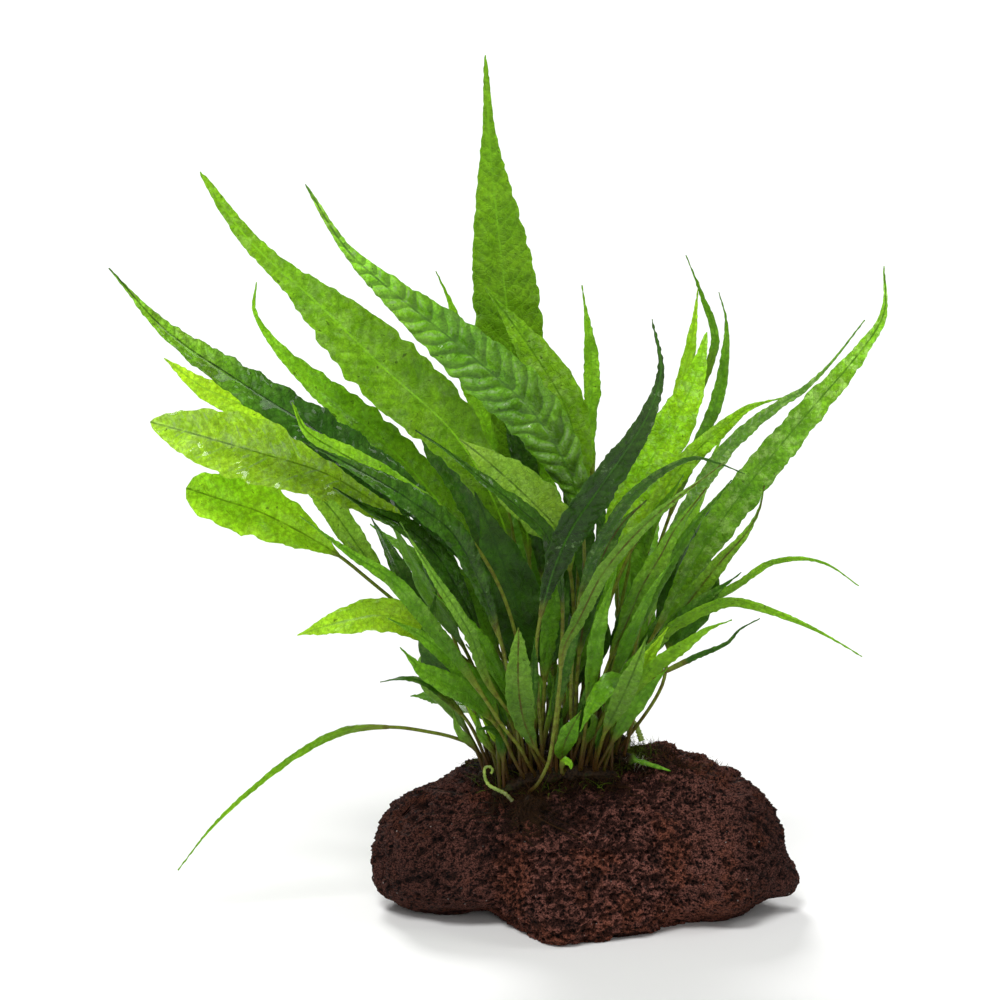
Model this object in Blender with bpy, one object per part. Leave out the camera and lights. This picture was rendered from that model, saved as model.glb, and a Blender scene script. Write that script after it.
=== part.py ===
"""Java fern grown on a porous lava stone.

Sizes are in millimetres and are turned into metres where a mesh is made. The origin is the middle of
the stone's flat sole, +Z is up, and the front of the plant faces -Y. Leaf routes are laid out on the
front view: across and up as they are seen from a point in front, and depth along Y.
"""

import math

import bmesh
import bpy
import numpy as np
from mathutils import Vector

MM = 0.001

# The point that the front view is seen from, and the middle of that view
VIEW_DISTANCE = 900.0
VIEW_RISE = math.radians(13.0)
VIEW_MIDDLE = Vector((-21.5, 0.0, 107.5))
VIEW_MIDDLE_UP = 102.0

# Stone: round lobes as (centre, half sizes), blended where they meet
STONE_LOBES = {
    "body": ((2, 4, 16), (36, 28, 26)),
    "left": ((-32, 3, 15.6), (22, 21, 16)),
    "left foot": ((-39, 2, 9), (13.5, 13, 8)),
    "left shoulder": ((-22, 6, 21), (19, 18, 15.5)),
    "front": ((-4, -11, 11), (17.5, 18.5, 20)),
    "front shoulder": ((-9, -11, 20), (16, 13, 15)),
    "front right": ((10, -8, 11), (16, 16.5, 19)),
    "right": ((30, 0, 16), (20.5, 21, 19)),
    "right shoulder": ((20, 4, 22.5), (20, 18, 18.8)),
    "far right knob": ((49.5, 2, 8.5), (5.5, 7, 5)),
    "ledge": ((10, -17.5, 25.5), (12, 7, 5)),
    "back left": ((-14, 18, 13), (22, 14, 17)),
    "back right": ((19, 17, 14), (20, 14, 17)),
}
LOBE_BLEND = 1.8
STONE_HEART = Vector((0.0, 2.0, 15.0))
STONE_COLUMNS = 68
STONE_ROWS = 24
STONE_REACH = 75.0
# How far the stone's surface stays above the floor, apart from its sole
SOLE_LIP = 0.3

# Low swellings and pits all over the stone, its creases and hollows as (centre, half sizes, depth), and
# its knobs as (centre, half sizes, height)
SWELL_COUNT = 14
SWELL_SIZE = 0.32
SWELL_LENGTHS = (9.0, 22.0)
PIT_COUNT = 46
PIT_RADIUS = (2.6, 4.6)
PIT_DEPTH = (0.7, 1.7)
CREASES = {
    "left of the front lobe": ((-21, -24, 10), (6, 16, 15), 2.2),
    "under the ledge": ((14, -31, 23), (15, 7, 2.6), 2.0),
    "hollow under the plant": ((-8, -24, 33), (9, 7, 5), 1.4),
    "right of the front lobe": ((22, -24, 6), (4, 12, 9), 2.0),
    "saddle under the plant": ((-5, 9, 44), (16, 14, 9), 2.4),
    "dark hollow below the ledge": ((20.4, -22.4, 23.7), (6, 5, 4.5), 1.1),
    "below the plant on the left": ((-11, -23, 27), (5, 4, 4), 0.8),
    "groove down the left lobe": ((-30, -18, 18.5), (2.8, 6, 9), 0.8),
    "hollow on the left shoulder": ((-31, -12.5, 27), (4, 3.5, 3.5), 0.8),
    "hollow on the right shoulder": ((32.5, -14, 29), (3.5, 4.5, 5.5), 1.0),
    "groove down the right side": ((41.2, -17.6, 18.4), (3, 5, 6), 0.8),
    "between the front lobes": ((7.8, -26, 17), (3.5, 5, 9), 1.0),
    "above the lower right knob": ((29.9, -19.5, 11), (3, 5, 4.5), 0.9),
    "under the left lobe": ((-35, -14, 1), (16, 6, 3.2), 2.2),
    "under the right lobe": ((25, -17, 1), (8, 6, 3.6), 2.4),
    "far left": ((-54, 0, 20), (5, 12, 9), 0.8),
}
KNOBS = {
    "end of the ledge": ((6, -18.5, 32.6), (4.5, 4, 3.2), 1.3),
    "top of the ledge": ((17.4, -14.6, 33.2), (6.5, 5, 3.5), 0.8),
    "front lobe": ((-6.6, -28, 20.3), (8, 6, 7), 0.8),
    "foot of the front lobe": ((-7, -30, 5), (7, 5, 6), 1.3),
    "front right lobe": ((23.5, -20.4, 14), (6, 5, 6), 0.9),
    "lower right": ((36, -18.5, 7.5), (5, 5, 4), 0.8),
    "left shoulder": ((-36.5, -1, 31.5), (6.5, 9, 4.5), 1.5),
    "middle of the left lobe": ((-24.8, -16.7, 21.2), (4.5, 5, 5), 0.8),
    "lip under the left lobe": ((-33, -16, 9.5), (11, 5, 2.6), 0.8),
    "right shoulder": ((38, -4, 31.5), (9, 9, 5), 0.9),
}

# Rhizomes: (x, y) points along the top of the stone, and the radius at each
RHIZOMES = {
    "rhizome_spur": [(-17.2, -19, 0.8), (-14.5, -18.6, 1.2), (-11, -18.6, 0.8)],
    "rhizome_front": [
        (-23.5, -12.5, 1.1),
        (-17, -13, 1.6),
        (-8, -12.8, 1.7),
        (1, -12.8, 1.5),
        (8, -12, 1.0),
    ],
    "rhizome_middle": [
        (-27, -5, 1.0),
        (-20, -5, 1.7),
        (-6, -5.2, 1.8),
        (6, -5.5, 1.6),
        (13, -7, 1.2),
        (21.5, -9, 0.8),
    ],
    "rhizome_back": [(-25.5, 5, 1.1), (-16, 5, 1.7), (-2, 5.2, 1.8), (12, 4.6, 1.1)],
    "rhizome_rear": [(-20.5, 13, 1.0), (-10, 13.4, 1.6), (2, 13.4, 1.6), (11.5, 12.5, 1.0)],
}
RHIZOME_SIDES = 8
RHIZOME_STEP = 4.5
RHIZOME_CLEARANCE = 0.7
RHIZOME_FOOTPRINT = 1.5
FOOT_GAP = 0.5
FOOT_LEAN = math.radians(42.0)

STALK = 1.25
BLADE_THICKNESS = 0.8
BLADE_FOLD = 0.16
TIP_WIDTH = 0.7
SEGMENT = 7.2

FRONT = -1
BACK = 1

# The leaves fan out forwards and backwards from this depth, more and more between two heights
FAN_MIDDLE = -3.0
FAN_SPREAD = 0.6
FAN_HEIGHTS = (35.0, 100.0)

# Leaf colours (linear red, green, blue)
TONES = {
    "glow": (0.26, 0.50, 0.03),
    "bright": (0.14, 0.36, 0.02),
    "green": (0.07, 0.24, 0.02),
    "deep": (0.02, 0.11, 0.01),
    "matt": (0.10, 0.26, 0.05),
}

# Leaves: name, rhizome, side of it, x of the foot, tone, width, where the blade starts and where it
# is widest (shares of the length), how slender its tip is, roll in degrees, and the route as
# (across, up, depth) from above the foot to the tip
LEAVES = [
    # The front row, nearest to the eye
    ("leaf_front_1", "rhizome_spur", BACK, -14.2, "matt", 4.0, 0.30, 0.62, 1.6, 20,
     [(-11.9, 31.3, -22.5), (-9.4, 36.5, -25.5), (-8.1, 44, -28), (-6.6, 56, -30), (-5.6, 65, -31),
      (-1.9, 72, -31.5), (4.7, 84.5, -33), (16, 97, -33), (34.7, 111.5, -30)]),
    ("leaf_front_2", "rhizome_front", FRONT, -12.8, "green", 4.2, 0.22, 0.60, 1.6, 20,
     [(-14.4, 36, -18), (-16.4, 39.8, -20), (-18.4, 42.4, -21.3), (-21.2, 45.9, -22.5),
      (-23.8, 50, -23.5), (-30.5, 60, -25), (-38.7, 70.5, -27), (-48.7, 82, -29), (-58.7, 88.5, -30),
      (-71.5, 98, -30)]),
    ("leaf_front_3", "rhizome_front", FRONT, -10.9, "matt", 3.4, 0.22, 0.60, 1.6, 25,
     [(-12.6, 37.6, -17.5), (-14.8, 42.4, -19), (-17.4, 46.8, -20.5), (-21.2, 51.5, -22),
      (-25.2, 57.9, -23.2), (-29.3, 69, -25), (-38.2, 83, -26), (-46.5, 96.5, -26)]),
    ("leaf_front_4", "rhizome_front", FRONT, -9.0, "matt", 6.8, 0.12, 0.60, 0.9, 10,
     [(-11.6, 38.2, -18.5), (-13.4, 41.5, -20.5), (-15.6, 47, -23), (-16.9, 55.5, -25.5),
      (-16.9, 70, -28)]),
    ("leaf_front_5", "rhizome_front", FRONT, -5.6, "green", 5.0, 0.10, 0.55, 1.4, 15,
     [(-6.0, 39, -19), (-4.2, 44, -21.5), (-1.2, 49.4, -23)]),
    ("leaf_front_6", "rhizome_front", FRONT, 2.2, "matt", 5.4, 0.22, 0.62, 1.6, 12,
     [(4.7, 44, -21), (8.7, 52, -25), (12.5, 60.7, -27.5), (15.4, 68.5, -28.5)]),
    # Leaves behind the front row
    ("leaf_left_1", "rhizome_front", FRONT, -15.6, "green", 5.7, 0.30, 0.66, 1.6, 25,
     [(-18.2, 37.5, -15.5), (-21, 43.5, -16.5), (-24.5, 48, -17.5), (-29.5, 53, -19),
      (-35.5, 56.5, -20), (-41, 59.5, -21), (-46.5, 65.2, -21)]),
    ("leaf_left_2", "rhizome_front", BACK, -19.5, "green", 5.4, 0.22, 0.62, 1.6, 25,
     [(-23.5, 51, -14.5), (-32.2, 60.5, -15.5), (-40.5, 67.5, -16), (-49.5, 72.5, -16)]),
    ("leaf_left_3", "rhizome_front", BACK, -16.2, "deep", 7.4, 0.28, 0.68, 1.7, 30,
     [(-18.5, 54.5, -15.5), (-24.5, 76, -18.5), (-33, 93, -21), (-45, 102.5, -23),
      (-57.7, 110, -24), (-70.7, 116.7, -24)]),
    ("leaf_left_4", "rhizome_front", BACK, -13.6, "bright", 5.6, 0.55, 0.80, 1.5, 25,
     [(-15.5, 58, -14.5), (-21.5, 80, -16.5), (-33, 97, -17), (-46.5, 105.5, -17),
      (-62.7, 114.5, -17), (-70.2, 119.5, -17), (-73.5, 126.5, -17)]),
    ("leaf_right_1", "rhizome_front", BACK, -10.6, "deep", 8.6, 0.30, 0.62, 2.0, 25,
     [(-12, 54, -16), (-12.3, 67, -18), (-9, 82, -20.5), (-4, 94, -22.5), (4, 106, -24),
      (14.7, 122, -24.5), (18.7, 134.5, -24.5), (16.5, 147.2, -24.5)]),
    ("leaf_left_5", "rhizome_front", BACK, -7.4, "deep", 6.6, 0.35, 0.66, 2.0, 58,
     [(-6.8, 55, -15), (-6, 77, -17), (-10, 93, -18), (-17, 100, -18.5), (-26.5, 107.5, -18.5),
      (-35.2, 114.5, -18.5), (-42.7, 119.5, -18.5)]),
    ("leaf_right_2", "rhizome_front", BACK, -3.6, "deep", 3.6, 0.30, 0.60, 1.6, 30,
     [(-3.4, 62, -17), (0.8, 85, -19.5), (8.5, 99.5, -22.5), (14.7, 106, -24.5), (21, 110.3, -26),
      (27.2, 112.5, -26.5), (33, 111.2, -26.5), (39.7, 108.5, -26)]),
    ("leaf_right_3", "rhizome_front", BACK, 0.2, "green", 6.0, 0.30, 0.62, 1.5, 20,
     [(3.4, 46, -14.5), (7.6, 53, -18), (6.0, 56, -21), (1.5, 50.5, -23), (-1.5, 44, -24)]),
    ("leaf_right_4", "rhizome_front", BACK, 4.6, "bright", 4.2, 0.25, 0.60, 1.5, 25,
     [(9.8, 51, -16), (17.4, 60.6, -18.5), (24, 65.2, -20), (30.2, 69.6, -21),
      (36.5, 72, -21.5)]),
    # Leaves from the front of the middle rhizome
    ("leaf_left_6", "rhizome_middle", FRONT, -22.5, "deep", 6.2, 0.30, 0.66, 1.7, 30,
     [(-25, 62, -9.5), (-35.2, 85, -12), (-44, 94.5, -13), (-54, 99.5, -13.5), (-63.2, 105.2, -13.5)]),
    ("leaf_left_7", "rhizome_middle", FRONT, -19.0, "deep", 11.6, 0.25, 0.58, 1.3, 32,
     [(-20.5, 64, -9), (-30.2, 87, -10.5), (-44, 102, -11.5), (-64, 117, -12.5), (-86.5, 131.5, -13),
      (-105.2, 144.5, -13), (-119.3, 160, -13)]),
    ("leaf_centre_1", "rhizome_middle", FRONT, -14.6, "deep", 13.0, 0.22, 0.60, 1.6, 4,
     [(-14.8, 61, -10.5), (-17.7, 77, -12.5), (-22.7, 91.5, -14), (-27.8, 104, -15)]),
    ("leaf_centre_2", "rhizome_middle", FRONT, -7.2, "matt", 12.2, 0.50, 0.74, 1.3, 8,
     [(-4.5, 57, -9), (-3.2, 77, -10.5), (-6.5, 93.2, -11.5), (-13.5, 101.5, -11.8),
      (-25, 112, -11.5), (-31.7, 117.3, -11)]),
    ("leaf_right_5", "rhizome_middle", FRONT, -3.2, "deep", 6.4, 0.30, 0.62, 1.7, 25,
     [(-1.6, 64.5, -10.5), (1, 79.5, -13), (4.6, 89, -15), (9, 96.2, -16.5), (15.2, 102, -17)]),
    ("leaf_right_6", "rhizome_middle", FRONT, 0.8, "green", 6.5, 0.28, 0.60, 1.8, 28,
     [(4.2, 57, -9.5), (11, 73.5, -12), (13.7, 80, -13), (18.5, 88, -14), (22, 94.5, -14.5),
      (30.2, 105.2, -14.5)]),
    ("leaf_right_7", "rhizome_middle", FRONT, 4.4, "green", 5.2, 0.25, 0.56, 1.8, 28,
     [(9.6, 53, -8.3), (19.7, 68.6, -9.3), (26, 77, -10), (33.5, 86.5, -10.5), (39.7, 93.5, -10.5),
      (43.2, 99.5, -10.5), (44.6, 105.6, -10.5)]),
    ("leaf_right_8", "rhizome_middle", FRONT, 7.6, "bright", 3.7, 0.20, 0.42, 1.6, 35,
     [(11.8, 53, -10.5), (16.2, 63.5, -12.2), (20.4, 69.2, -13), (26.2, 73, -14), (36.5, 76.6, -15),
      (47.2, 73.9, -16), (56.5, 70, -16.5), (64.5, 65.6, -16.5), (69, 62.8, -16.5)]),
    # Leaves from the back of the middle rhizome
    ("leaf_left_8", "rhizome_middle", BACK, -24.8, "bright", 2.6, 0.20, 0.45, 1.5, 40,
     [(-28.5, 40.6, -4), (-33, 42.6, -4.2), (-38, 43.8, -4.4), (-48, 45.2, -4.8), (-59.5, 44.4, -5),
      (-70.7, 39.2, -5), (-83.5, 29.6, -5), (-93.7, 20, -5), (-102, 9.5, -5)]),
    ("leaf_left_9", "rhizome_middle", BACK, -22.2, "glow", 9.2, 0.38, 0.70, 1.2, 20,
     [(-24.5, 49, -3.5), (-31, 60, -3.5), (-41, 69.5, -3.5), (-50, 73, -3.5), (-60.2, 71.7, -3.5),
      (-72.2, 68.2, -3.5)]),
    ("leaf_left_10", "rhizome_middle", BACK, -19.2, "glow", 15.2, 0.60, 0.82, 1.15, 18,
     [(-23, 54, -2.5), (-34.5, 66, -0.5), (-44.5, 74, 0), (-53, 81, 0.5), (-61.7, 88, 1),
      (-71, 93.7, 1.5), (-81.7, 99, 2), (-91, 102, 2), (-100, 105, 2)]),
    ("leaf_left_11", "rhizome_middle", BACK, -16.0, "glow", 16.8, 0.42, 0.76, 1.3, 14,
     [(-20, 58, -4), (-32, 79.5, -4.5), (-45, 95, -4.5), (-56, 103.5, -4.5), (-66.2, 109, -4.5),
      (-81.2, 113.6, -4), (-96.2, 118, -3.5), (-109, 121.5, -3)]),
    ("leaf_left_12", "rhizome_middle", BACK, -12.4, "bright", 17.6, 0.28, 0.62, 2.2, 10,
     [(-14.5, 67, -4), (-20.2, 94.5, -5), (-32.2, 117.5, -5), (-51.2, 135.5, -4), (-68, 152, -3),
      (-84.5, 167.2, -2.5), (-96.5, 184, -2.5)]),
    ("leaf_left_13", "rhizome_middle", BACK, -5.6, "green", 14.6, 0.30, 0.58, 2.2, -14,
     [(-2.4, 62, -5), (-0.4, 87, -6), (-2.4, 104, -7), (-7.5, 115.5, -8), (-15, 126, -8.5),
      (-26.2, 136, -9), (-37.2, 145.2, -9.5), (-48.2, 154, -10), (-60, 165, -10.5), (-70.2, 181, -10.5)]),
    ("leaf_right_9", "rhizome_middle", BACK, 0.2, "bright", 5.8, 0.45, 0.70, 1.6, 25,
     [(4.5, 72, -4.5), (14, 95, -5), (20.5, 106, -5.5), (26.5, 113.3, -6), (33.5, 119.5, -6),
      (40.5, 125, -6), (49.7, 127.7, -6)]),
    ("leaf_right_10", "rhizome_middle", BACK, 3.4, "green", 4.4, 0.30, 0.60, 2.2, 30,
     [(9.5, 70, -5), (21.5, 94, -7), (32.2, 111, -8.5), (37.2, 117, -9), (42.2, 121.5, -9.5),
      (48.5, 126, -9.5), (54.7, 130, -9.5), (61, 136, -9.5), (69.7, 147, -9.5)]),
    ("leaf_right_11", "rhizome_middle", BACK, 6.6, "green", 9.4, 0.18, 0.52, 1.3, 24,
     [(11.8, 58, -4.5), (20.7, 75, -5), (29.5, 90.5, -5.5), (42.2, 108, -6), (56, 124.5, -6.5),
      (68.2, 138.8, -6.5), (74.3, 148.5, -6.5), (74.5, 160.5, -6.5)]),
    # Leaves from the back rhizome
    ("leaf_left_14", "rhizome_back", FRONT, -23.2, "matt", 7.0, 0.55, 0.80, 1.3, 20,
     [(-26, 55, 2), (-39, 70, 5), (-55.2, 88, 8), (-64, 100, 10), (-72.5, 107.5, 11)]),
    ("leaf_left_15", "rhizome_back", FRONT, -19.6, "glow", 9.8, 0.45, 0.72, 1.7, 15,
     [(-24, 62, 3), (-38, 85, 5), (-52, 103, 7), (-66.5, 116, 9), (-82.7, 124.5, 10), (-95.5, 130, 11),
      (-105.5, 137.5, 12)]),
    ("leaf_left_16", "rhizome_back", FRONT, -16.0, "bright", 9.8, 0.30, 0.60, 2.0, 18,
     [(-18.5, 66, 2), (-29, 90, 3), (-41, 106.5, 4), (-55, 120.5, 5), (-68, 131.5, 5.5),
      (-77, 140, 6), (-82.8, 149, 6.5), (-82.4, 156.5, 7)]),
    ("leaf_centre_3", "rhizome_back", FRONT, -12.0, "bright", 16.8, 0.24, 0.62, 2.3, 2,
     [(-13.2, 72, 4), (-16, 109.5, 5), (-18.3, 134.5, 5.5), (-20, 152, 6), (-22, 170, 6.5),
      (-24, 190, 7), (-25.2, 213.2, 7)]),
    ("leaf_centre_4", "rhizome_back", FRONT, -8.6, "deep", 6.8, 0.35, 0.66, 1.7, 22,
     [(-9.2, 64.5, 0.5), (-11.8, 92, -0.5), (-16.5, 114.5, -0.5), (-20, 127.5, 0), (-22.5, 140, 0.5)]),
    ("leaf_centre_5", "rhizome_back", FRONT, -2.0, "bright", 10.4, 0.45, 0.74, 1.6, 6,
     [(-2.2, 77, 1.5), (-1.6, 109.5, -1.5), (-5, 124.8, -2.5), (-11, 135.5, -2.5), (-18, 145.7, -2.5),
      (-25.2, 155, -2.5)]),
    ("leaf_right_12", "rhizome_back", FRONT, 2.6, "bright", 12.4, 0.30, 0.64, 1.2, 12,
     [(4.9, 77, 1.5), (9.7, 97, 1), (16, 111.5, 1), (20.4, 118.5, 1), (27, 132, 1), (30.2, 144, 1)]),
    ("leaf_right_13", "rhizome_back", FRONT, 8.4, "bright", 2.8, 0.25, 0.50, 1.5, 35,
     [(13.6, 58.5, 1), (20.8, 70.2, 1), (28.5, 75.8, 1), (38, 81, 1), (45.5, 86, 1), (53.5, 87.4, 1),
      (60.5, 85.8, 1), (68.2, 80.5, 1)]),
    # Leaves behind them, that show above or between the others
    ("leaf_left_17", "rhizome_back", BACK, -13.6, "bright", 5.6, 0.50, 0.76, 2.0, 15,
     [(-14.8, 64.5, 9), (-18, 92, 12), (-23.8, 117, 14), (-29, 132, 15), (-33.5, 150, 15),
      (-37.5, 159.2, 15)]),
    ("leaf_right_14", "rhizome_back", BACK, 0.4, "bright", 4.7, 0.50, 0.78, 1.9, 25,
     [(1, 77, 9), (1.6, 107, 10), (0.8, 119.5, 10), (1.4, 131, 10), (0.8, 142, 10), (-1, 155.7, 10)]),
    ("leaf_right_15", "rhizome_back", BACK, 3.4, "glow", 3.9, 0.50, 0.78, 1.7, 20,
     [(6.5, 64.5, 9), (12.5, 92, 11), (21, 119.5, 12), (26, 140, 13), (27.4, 149.5, 13),
      (28.2, 156.5, 13)]),
    ("leaf_right_16", "rhizome_back", BACK, 6.8, "green", 3.8, 0.40, 0.74, 1.9, 22,
     [(9.5, 62, 8), (17, 87, 9), (26.2, 112, 10), (32.2, 125.5, 10), (34.6, 137, 10), (35, 147, 10),
      (33.2, 154, 10)]),
    # Leaves that lean back, on the side that the front view hides
    ("leaf_back_1", "rhizome_rear", FRONT, -18.0, "green", 8.6, 0.30, 0.66, 1.7, 55,
     [(-20, 54, 12.3), (-32, 72, 18.6), (-44, 88, 23.2), (-54, 96, 27.8)]),
    ("leaf_back_2", "rhizome_rear", FRONT, -13.5, "deep", 10.4, 0.28, 0.62, 1.9, -35,
     [(-16.5, 62, 12.2), (-26, 92, 14.6), (-38, 116, 21.4), (-49, 131, 27.6)]),
    ("leaf_back_3", "rhizome_rear", FRONT, -6.5, "bright", 11.0, 0.26, 0.60, 2.0, 35,
     [(-8, 66, 12.5), (-12, 100, 13.9), (-17.5, 132, 20), (-21, 158, 27.6)]),
    ("leaf_back_4", "rhizome_rear", BACK, -10.0, "green", 9.6, 0.28, 0.60, 1.8, -15,
     [(-11, 58, 18.5), (-14, 86, 23.5), (-18, 110, 31.4), (-20, 120, 40)]),
    ("leaf_back_5", "rhizome_rear", FRONT, 1.0, "deep", 9.4, 0.28, 0.62, 1.8, -45,
     [(1.5, 64, 12), (0, 92, 15.3), (-3, 116, 22), (-7, 128, 28.9)]),
    ("leaf_back_6", "rhizome_rear", BACK, 4.0, "green", 9.8, 0.28, 0.60, 1.8, 20,
     [(6, 56, 18.8), (11, 80, 23.9), (16, 98, 29.9), (19, 104, 37.6)]),
    ("leaf_back_7", "rhizome_rear", FRONT, 8.0, "bright", 8.8, 0.30, 0.62, 1.9, 48,
     [(11, 58, 11.9), (19, 82, 15.1), (28, 104, 19.5), (34, 118, 25)]),
    ("leaf_back_8", "rhizome_rear", BACK, -16.0, "green", 7.6, 0.25, 0.60, 1.6, 40,
     [(-20.5, 44.5, 22), (-28.5, 50, 30), (-36.5, 53, 38), (-43.8, 53, 46)]),
]

# Young fronds as tubes: front view routes like a leaf's, from the foot, and the radius
FIDDLEHEAD_ROUTE = [
    (-18.4, 26.8, -20.5),
    (-20.2, 28.6, -20.6),
    (-22.0, 29.5, -20.0),
    (-24.2, 30.7, -19.2),
    (-25.2, 32.4, -18.6),
    (-25.4, 34.4, -18.2),
]
FIDDLEHEAD_RADIUS = 0.55
COIL_RADIUS = 1.0
COIL_TURN = math.radians(230.0)
COIL_POINTS = 7
ARCH_ROUTE = [
    (10.5, 39.9, -1.0),
    (10.7, 43.2, -1.0),
    (11.1, 45.4, -1.2),
    (12.1, 46.2, -1.4),
    (13.1, 44.2, -1.8),
    (13.9, 41.8, -2.2),
]
ARCH_RADIUS = 0.6


def from_front(across, up, depth):
    """The world point that the front view shows at (across, up), at that depth."""
    forward = Vector((0.0, math.cos(VIEW_RISE), -math.sin(VIEW_RISE)))
    upward = Vector((0.0, math.sin(VIEW_RISE), math.cos(VIEW_RISE)))
    eye = VIEW_MIDDLE - forward * VIEW_DISTANCE
    seen = VIEW_MIDDLE + Vector((across - VIEW_MIDDLE.x, 0.0, 0.0))
    seen += upward * (up - VIEW_MIDDLE_UP)
    ray = seen - eye
    return eye + ray * ((depth - eye.y) / ray.y)


def fanned(across, up, depth):
    """The world point of a leaf's route, its depth spread out with its height."""
    low, high = FAN_HEIGHTS
    share = min(1.0, max(0.0, (up - low) / (high - low)))
    return from_front(across, up, FAN_MIDDLE + (depth - FAN_MIDDLE) * (1.0 + FAN_SPREAD * share))


def swellings():
    """Waves that lift and lower the stone's surface: direction over length, phase and height."""
    draw = np.random.default_rng(11)
    way = draw.normal(size=(SWELL_COUNT, 3))
    way /= np.linalg.norm(way, axis=1)[:, None]
    length = draw.uniform(*SWELL_LENGTHS, size=SWELL_COUNT)
    phase = draw.uniform(0.0, 2.0 * math.pi, size=SWELL_COUNT)
    return way * (2.0 * math.pi / length)[:, None], phase, SWELL_SIZE * length / SWELL_LENGTHS[0]


def pits():
    """Open pores large enough to see from a step away: centre, radius and depth of each."""
    draw = np.random.default_rng(5)
    turn = draw.uniform(0.0, 2.0 * math.pi, size=PIT_COUNT)
    rise = draw.uniform(-0.1, 1.1, size=PIT_COUNT)
    centre = np.stack(
        [
            50.0 * np.cos(turn) * np.cos(rise),
            34.0 * np.sin(turn) * np.cos(rise),
            16.0 + 28.0 * np.sin(rise),
        ],
        axis=1,
    )
    return centre, draw.uniform(*PIT_RADIUS, PIT_COUNT), draw.uniform(*PIT_DEPTH, PIT_COUNT)


SWELLINGS = swellings()
PITS = pits()


def stone_field(points):
    """Rough distance of each point from the stone's surface, negative inside."""
    points = np.atleast_2d(points)
    total = np.zeros(len(points))
    for centre, half in STONE_LOBES.values():
        scaled = (points - np.array(centre)) / np.array(half)
        distance = (np.linalg.norm(scaled, axis=1) - 1.0) * min(half)
        total += np.exp(-distance / LOBE_BLEND)
    field = -LOBE_BLEND * np.log(total)
    ways, phase, height = SWELLINGS
    field += (np.sin(points @ ways.T + phase) * height).sum(axis=1) / math.sqrt(SWELL_COUNT)
    centre, radius, depth = PITS
    for spot, wide, deep in zip(centre, radius, depth):
        near = np.linalg.norm(points - spot, axis=1) / wide
        field += deep * np.exp(-(near**4))
    for centre, half, deep in CREASES.values():
        near = np.linalg.norm((points - np.array(centre)) / np.array(half), axis=1)
        field += deep * np.exp(-(near**2))
    for centre, half, height in KNOBS.values():
        near = np.linalg.norm((points - np.array(centre)) / np.array(half), axis=1)
        field -= height * np.exp(-(near**2))
    return field


def surface_along(start, ways):
    """Distances from start, along each way, to the stone's surface."""
    near = np.zeros(len(ways))
    far = np.full(len(ways), STONE_REACH)
    for _ in range(30):
        middle = (near + far) / 2.0
        inside = stone_field(start + ways * middle[:, None]) < 0.0
        near = np.where(inside, middle, near)
        far = np.where(inside, far, middle)
    return (near + far) / 2.0


def stone_top(x, y, around=0.0):
    """Highest point of the stone at (x, y), or within a square of that half width about it."""
    steps = (-around, 0.0, around) if around else (0.0,)
    low = np.array([(x + dx, y + dy, STONE_HEART.z) for dx in steps for dy in steps])
    upward = np.tile((0.0, 0.0, 1.0), (len(low), 1))
    return STONE_HEART.z + float(surface_along(low, upward).max())


def rim_angles(turns):
    """For each turn about the heart, the angle down to where the surface meets the sole."""
    heart = np.array(STONE_HEART)
    low = np.full(len(turns), -math.radians(70.0))
    high = np.zeros(len(turns))
    for _ in range(30):
        tilt = (low + high) / 2.0
        ways = np.stack(
            [np.cos(turns) * np.cos(tilt), np.sin(turns) * np.cos(tilt), np.sin(tilt)], axis=1
        )
        above = heart[2] + surface_along(heart, ways) * ways[:, 2] > 0.0
        low = np.where(above, low, tilt)
        high = np.where(above, tilt, high)
    return high


def new_object(name, mesh, material):
    """An object of this mesh, shaded smooth over its round stretches."""
    mesh.materials.append(material)
    mesh.shade_smooth()
    mesh.set_sharp_from_angle(angle=math.radians(50.0))
    thing = bpy.data.objects.new(name, mesh)
    bpy.context.scene.collection.objects.link(thing)
    return thing


def mesh_of(name, corners, faces):
    """A mesh in metres of corners in millimetres, with its faces turned outwards."""
    shape = bmesh.new()
    made = [shape.verts.new(Vector(corner) * MM) for corner in corners]
    for face in faces:
        shape.faces.new([made[number] for number in face])
    bmesh.ops.recalc_face_normals(shape, faces=shape.faces)
    mesh = bpy.data.meshes.new(name)
    shape.to_mesh(mesh)
    shape.free()
    return mesh


def finish(name, colour, roughness):
    """A plain Principled material."""
    material = bpy.data.materials.new(name)
    material.use_nodes = True
    shader = material.node_tree.nodes["Principled BSDF"]
    shader.inputs["Base Color"].default_value = (*colour, 1.0)
    shader.inputs["Roughness"].default_value = roughness
    shader.inputs["Metallic"].default_value = 0.0
    return material


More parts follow.
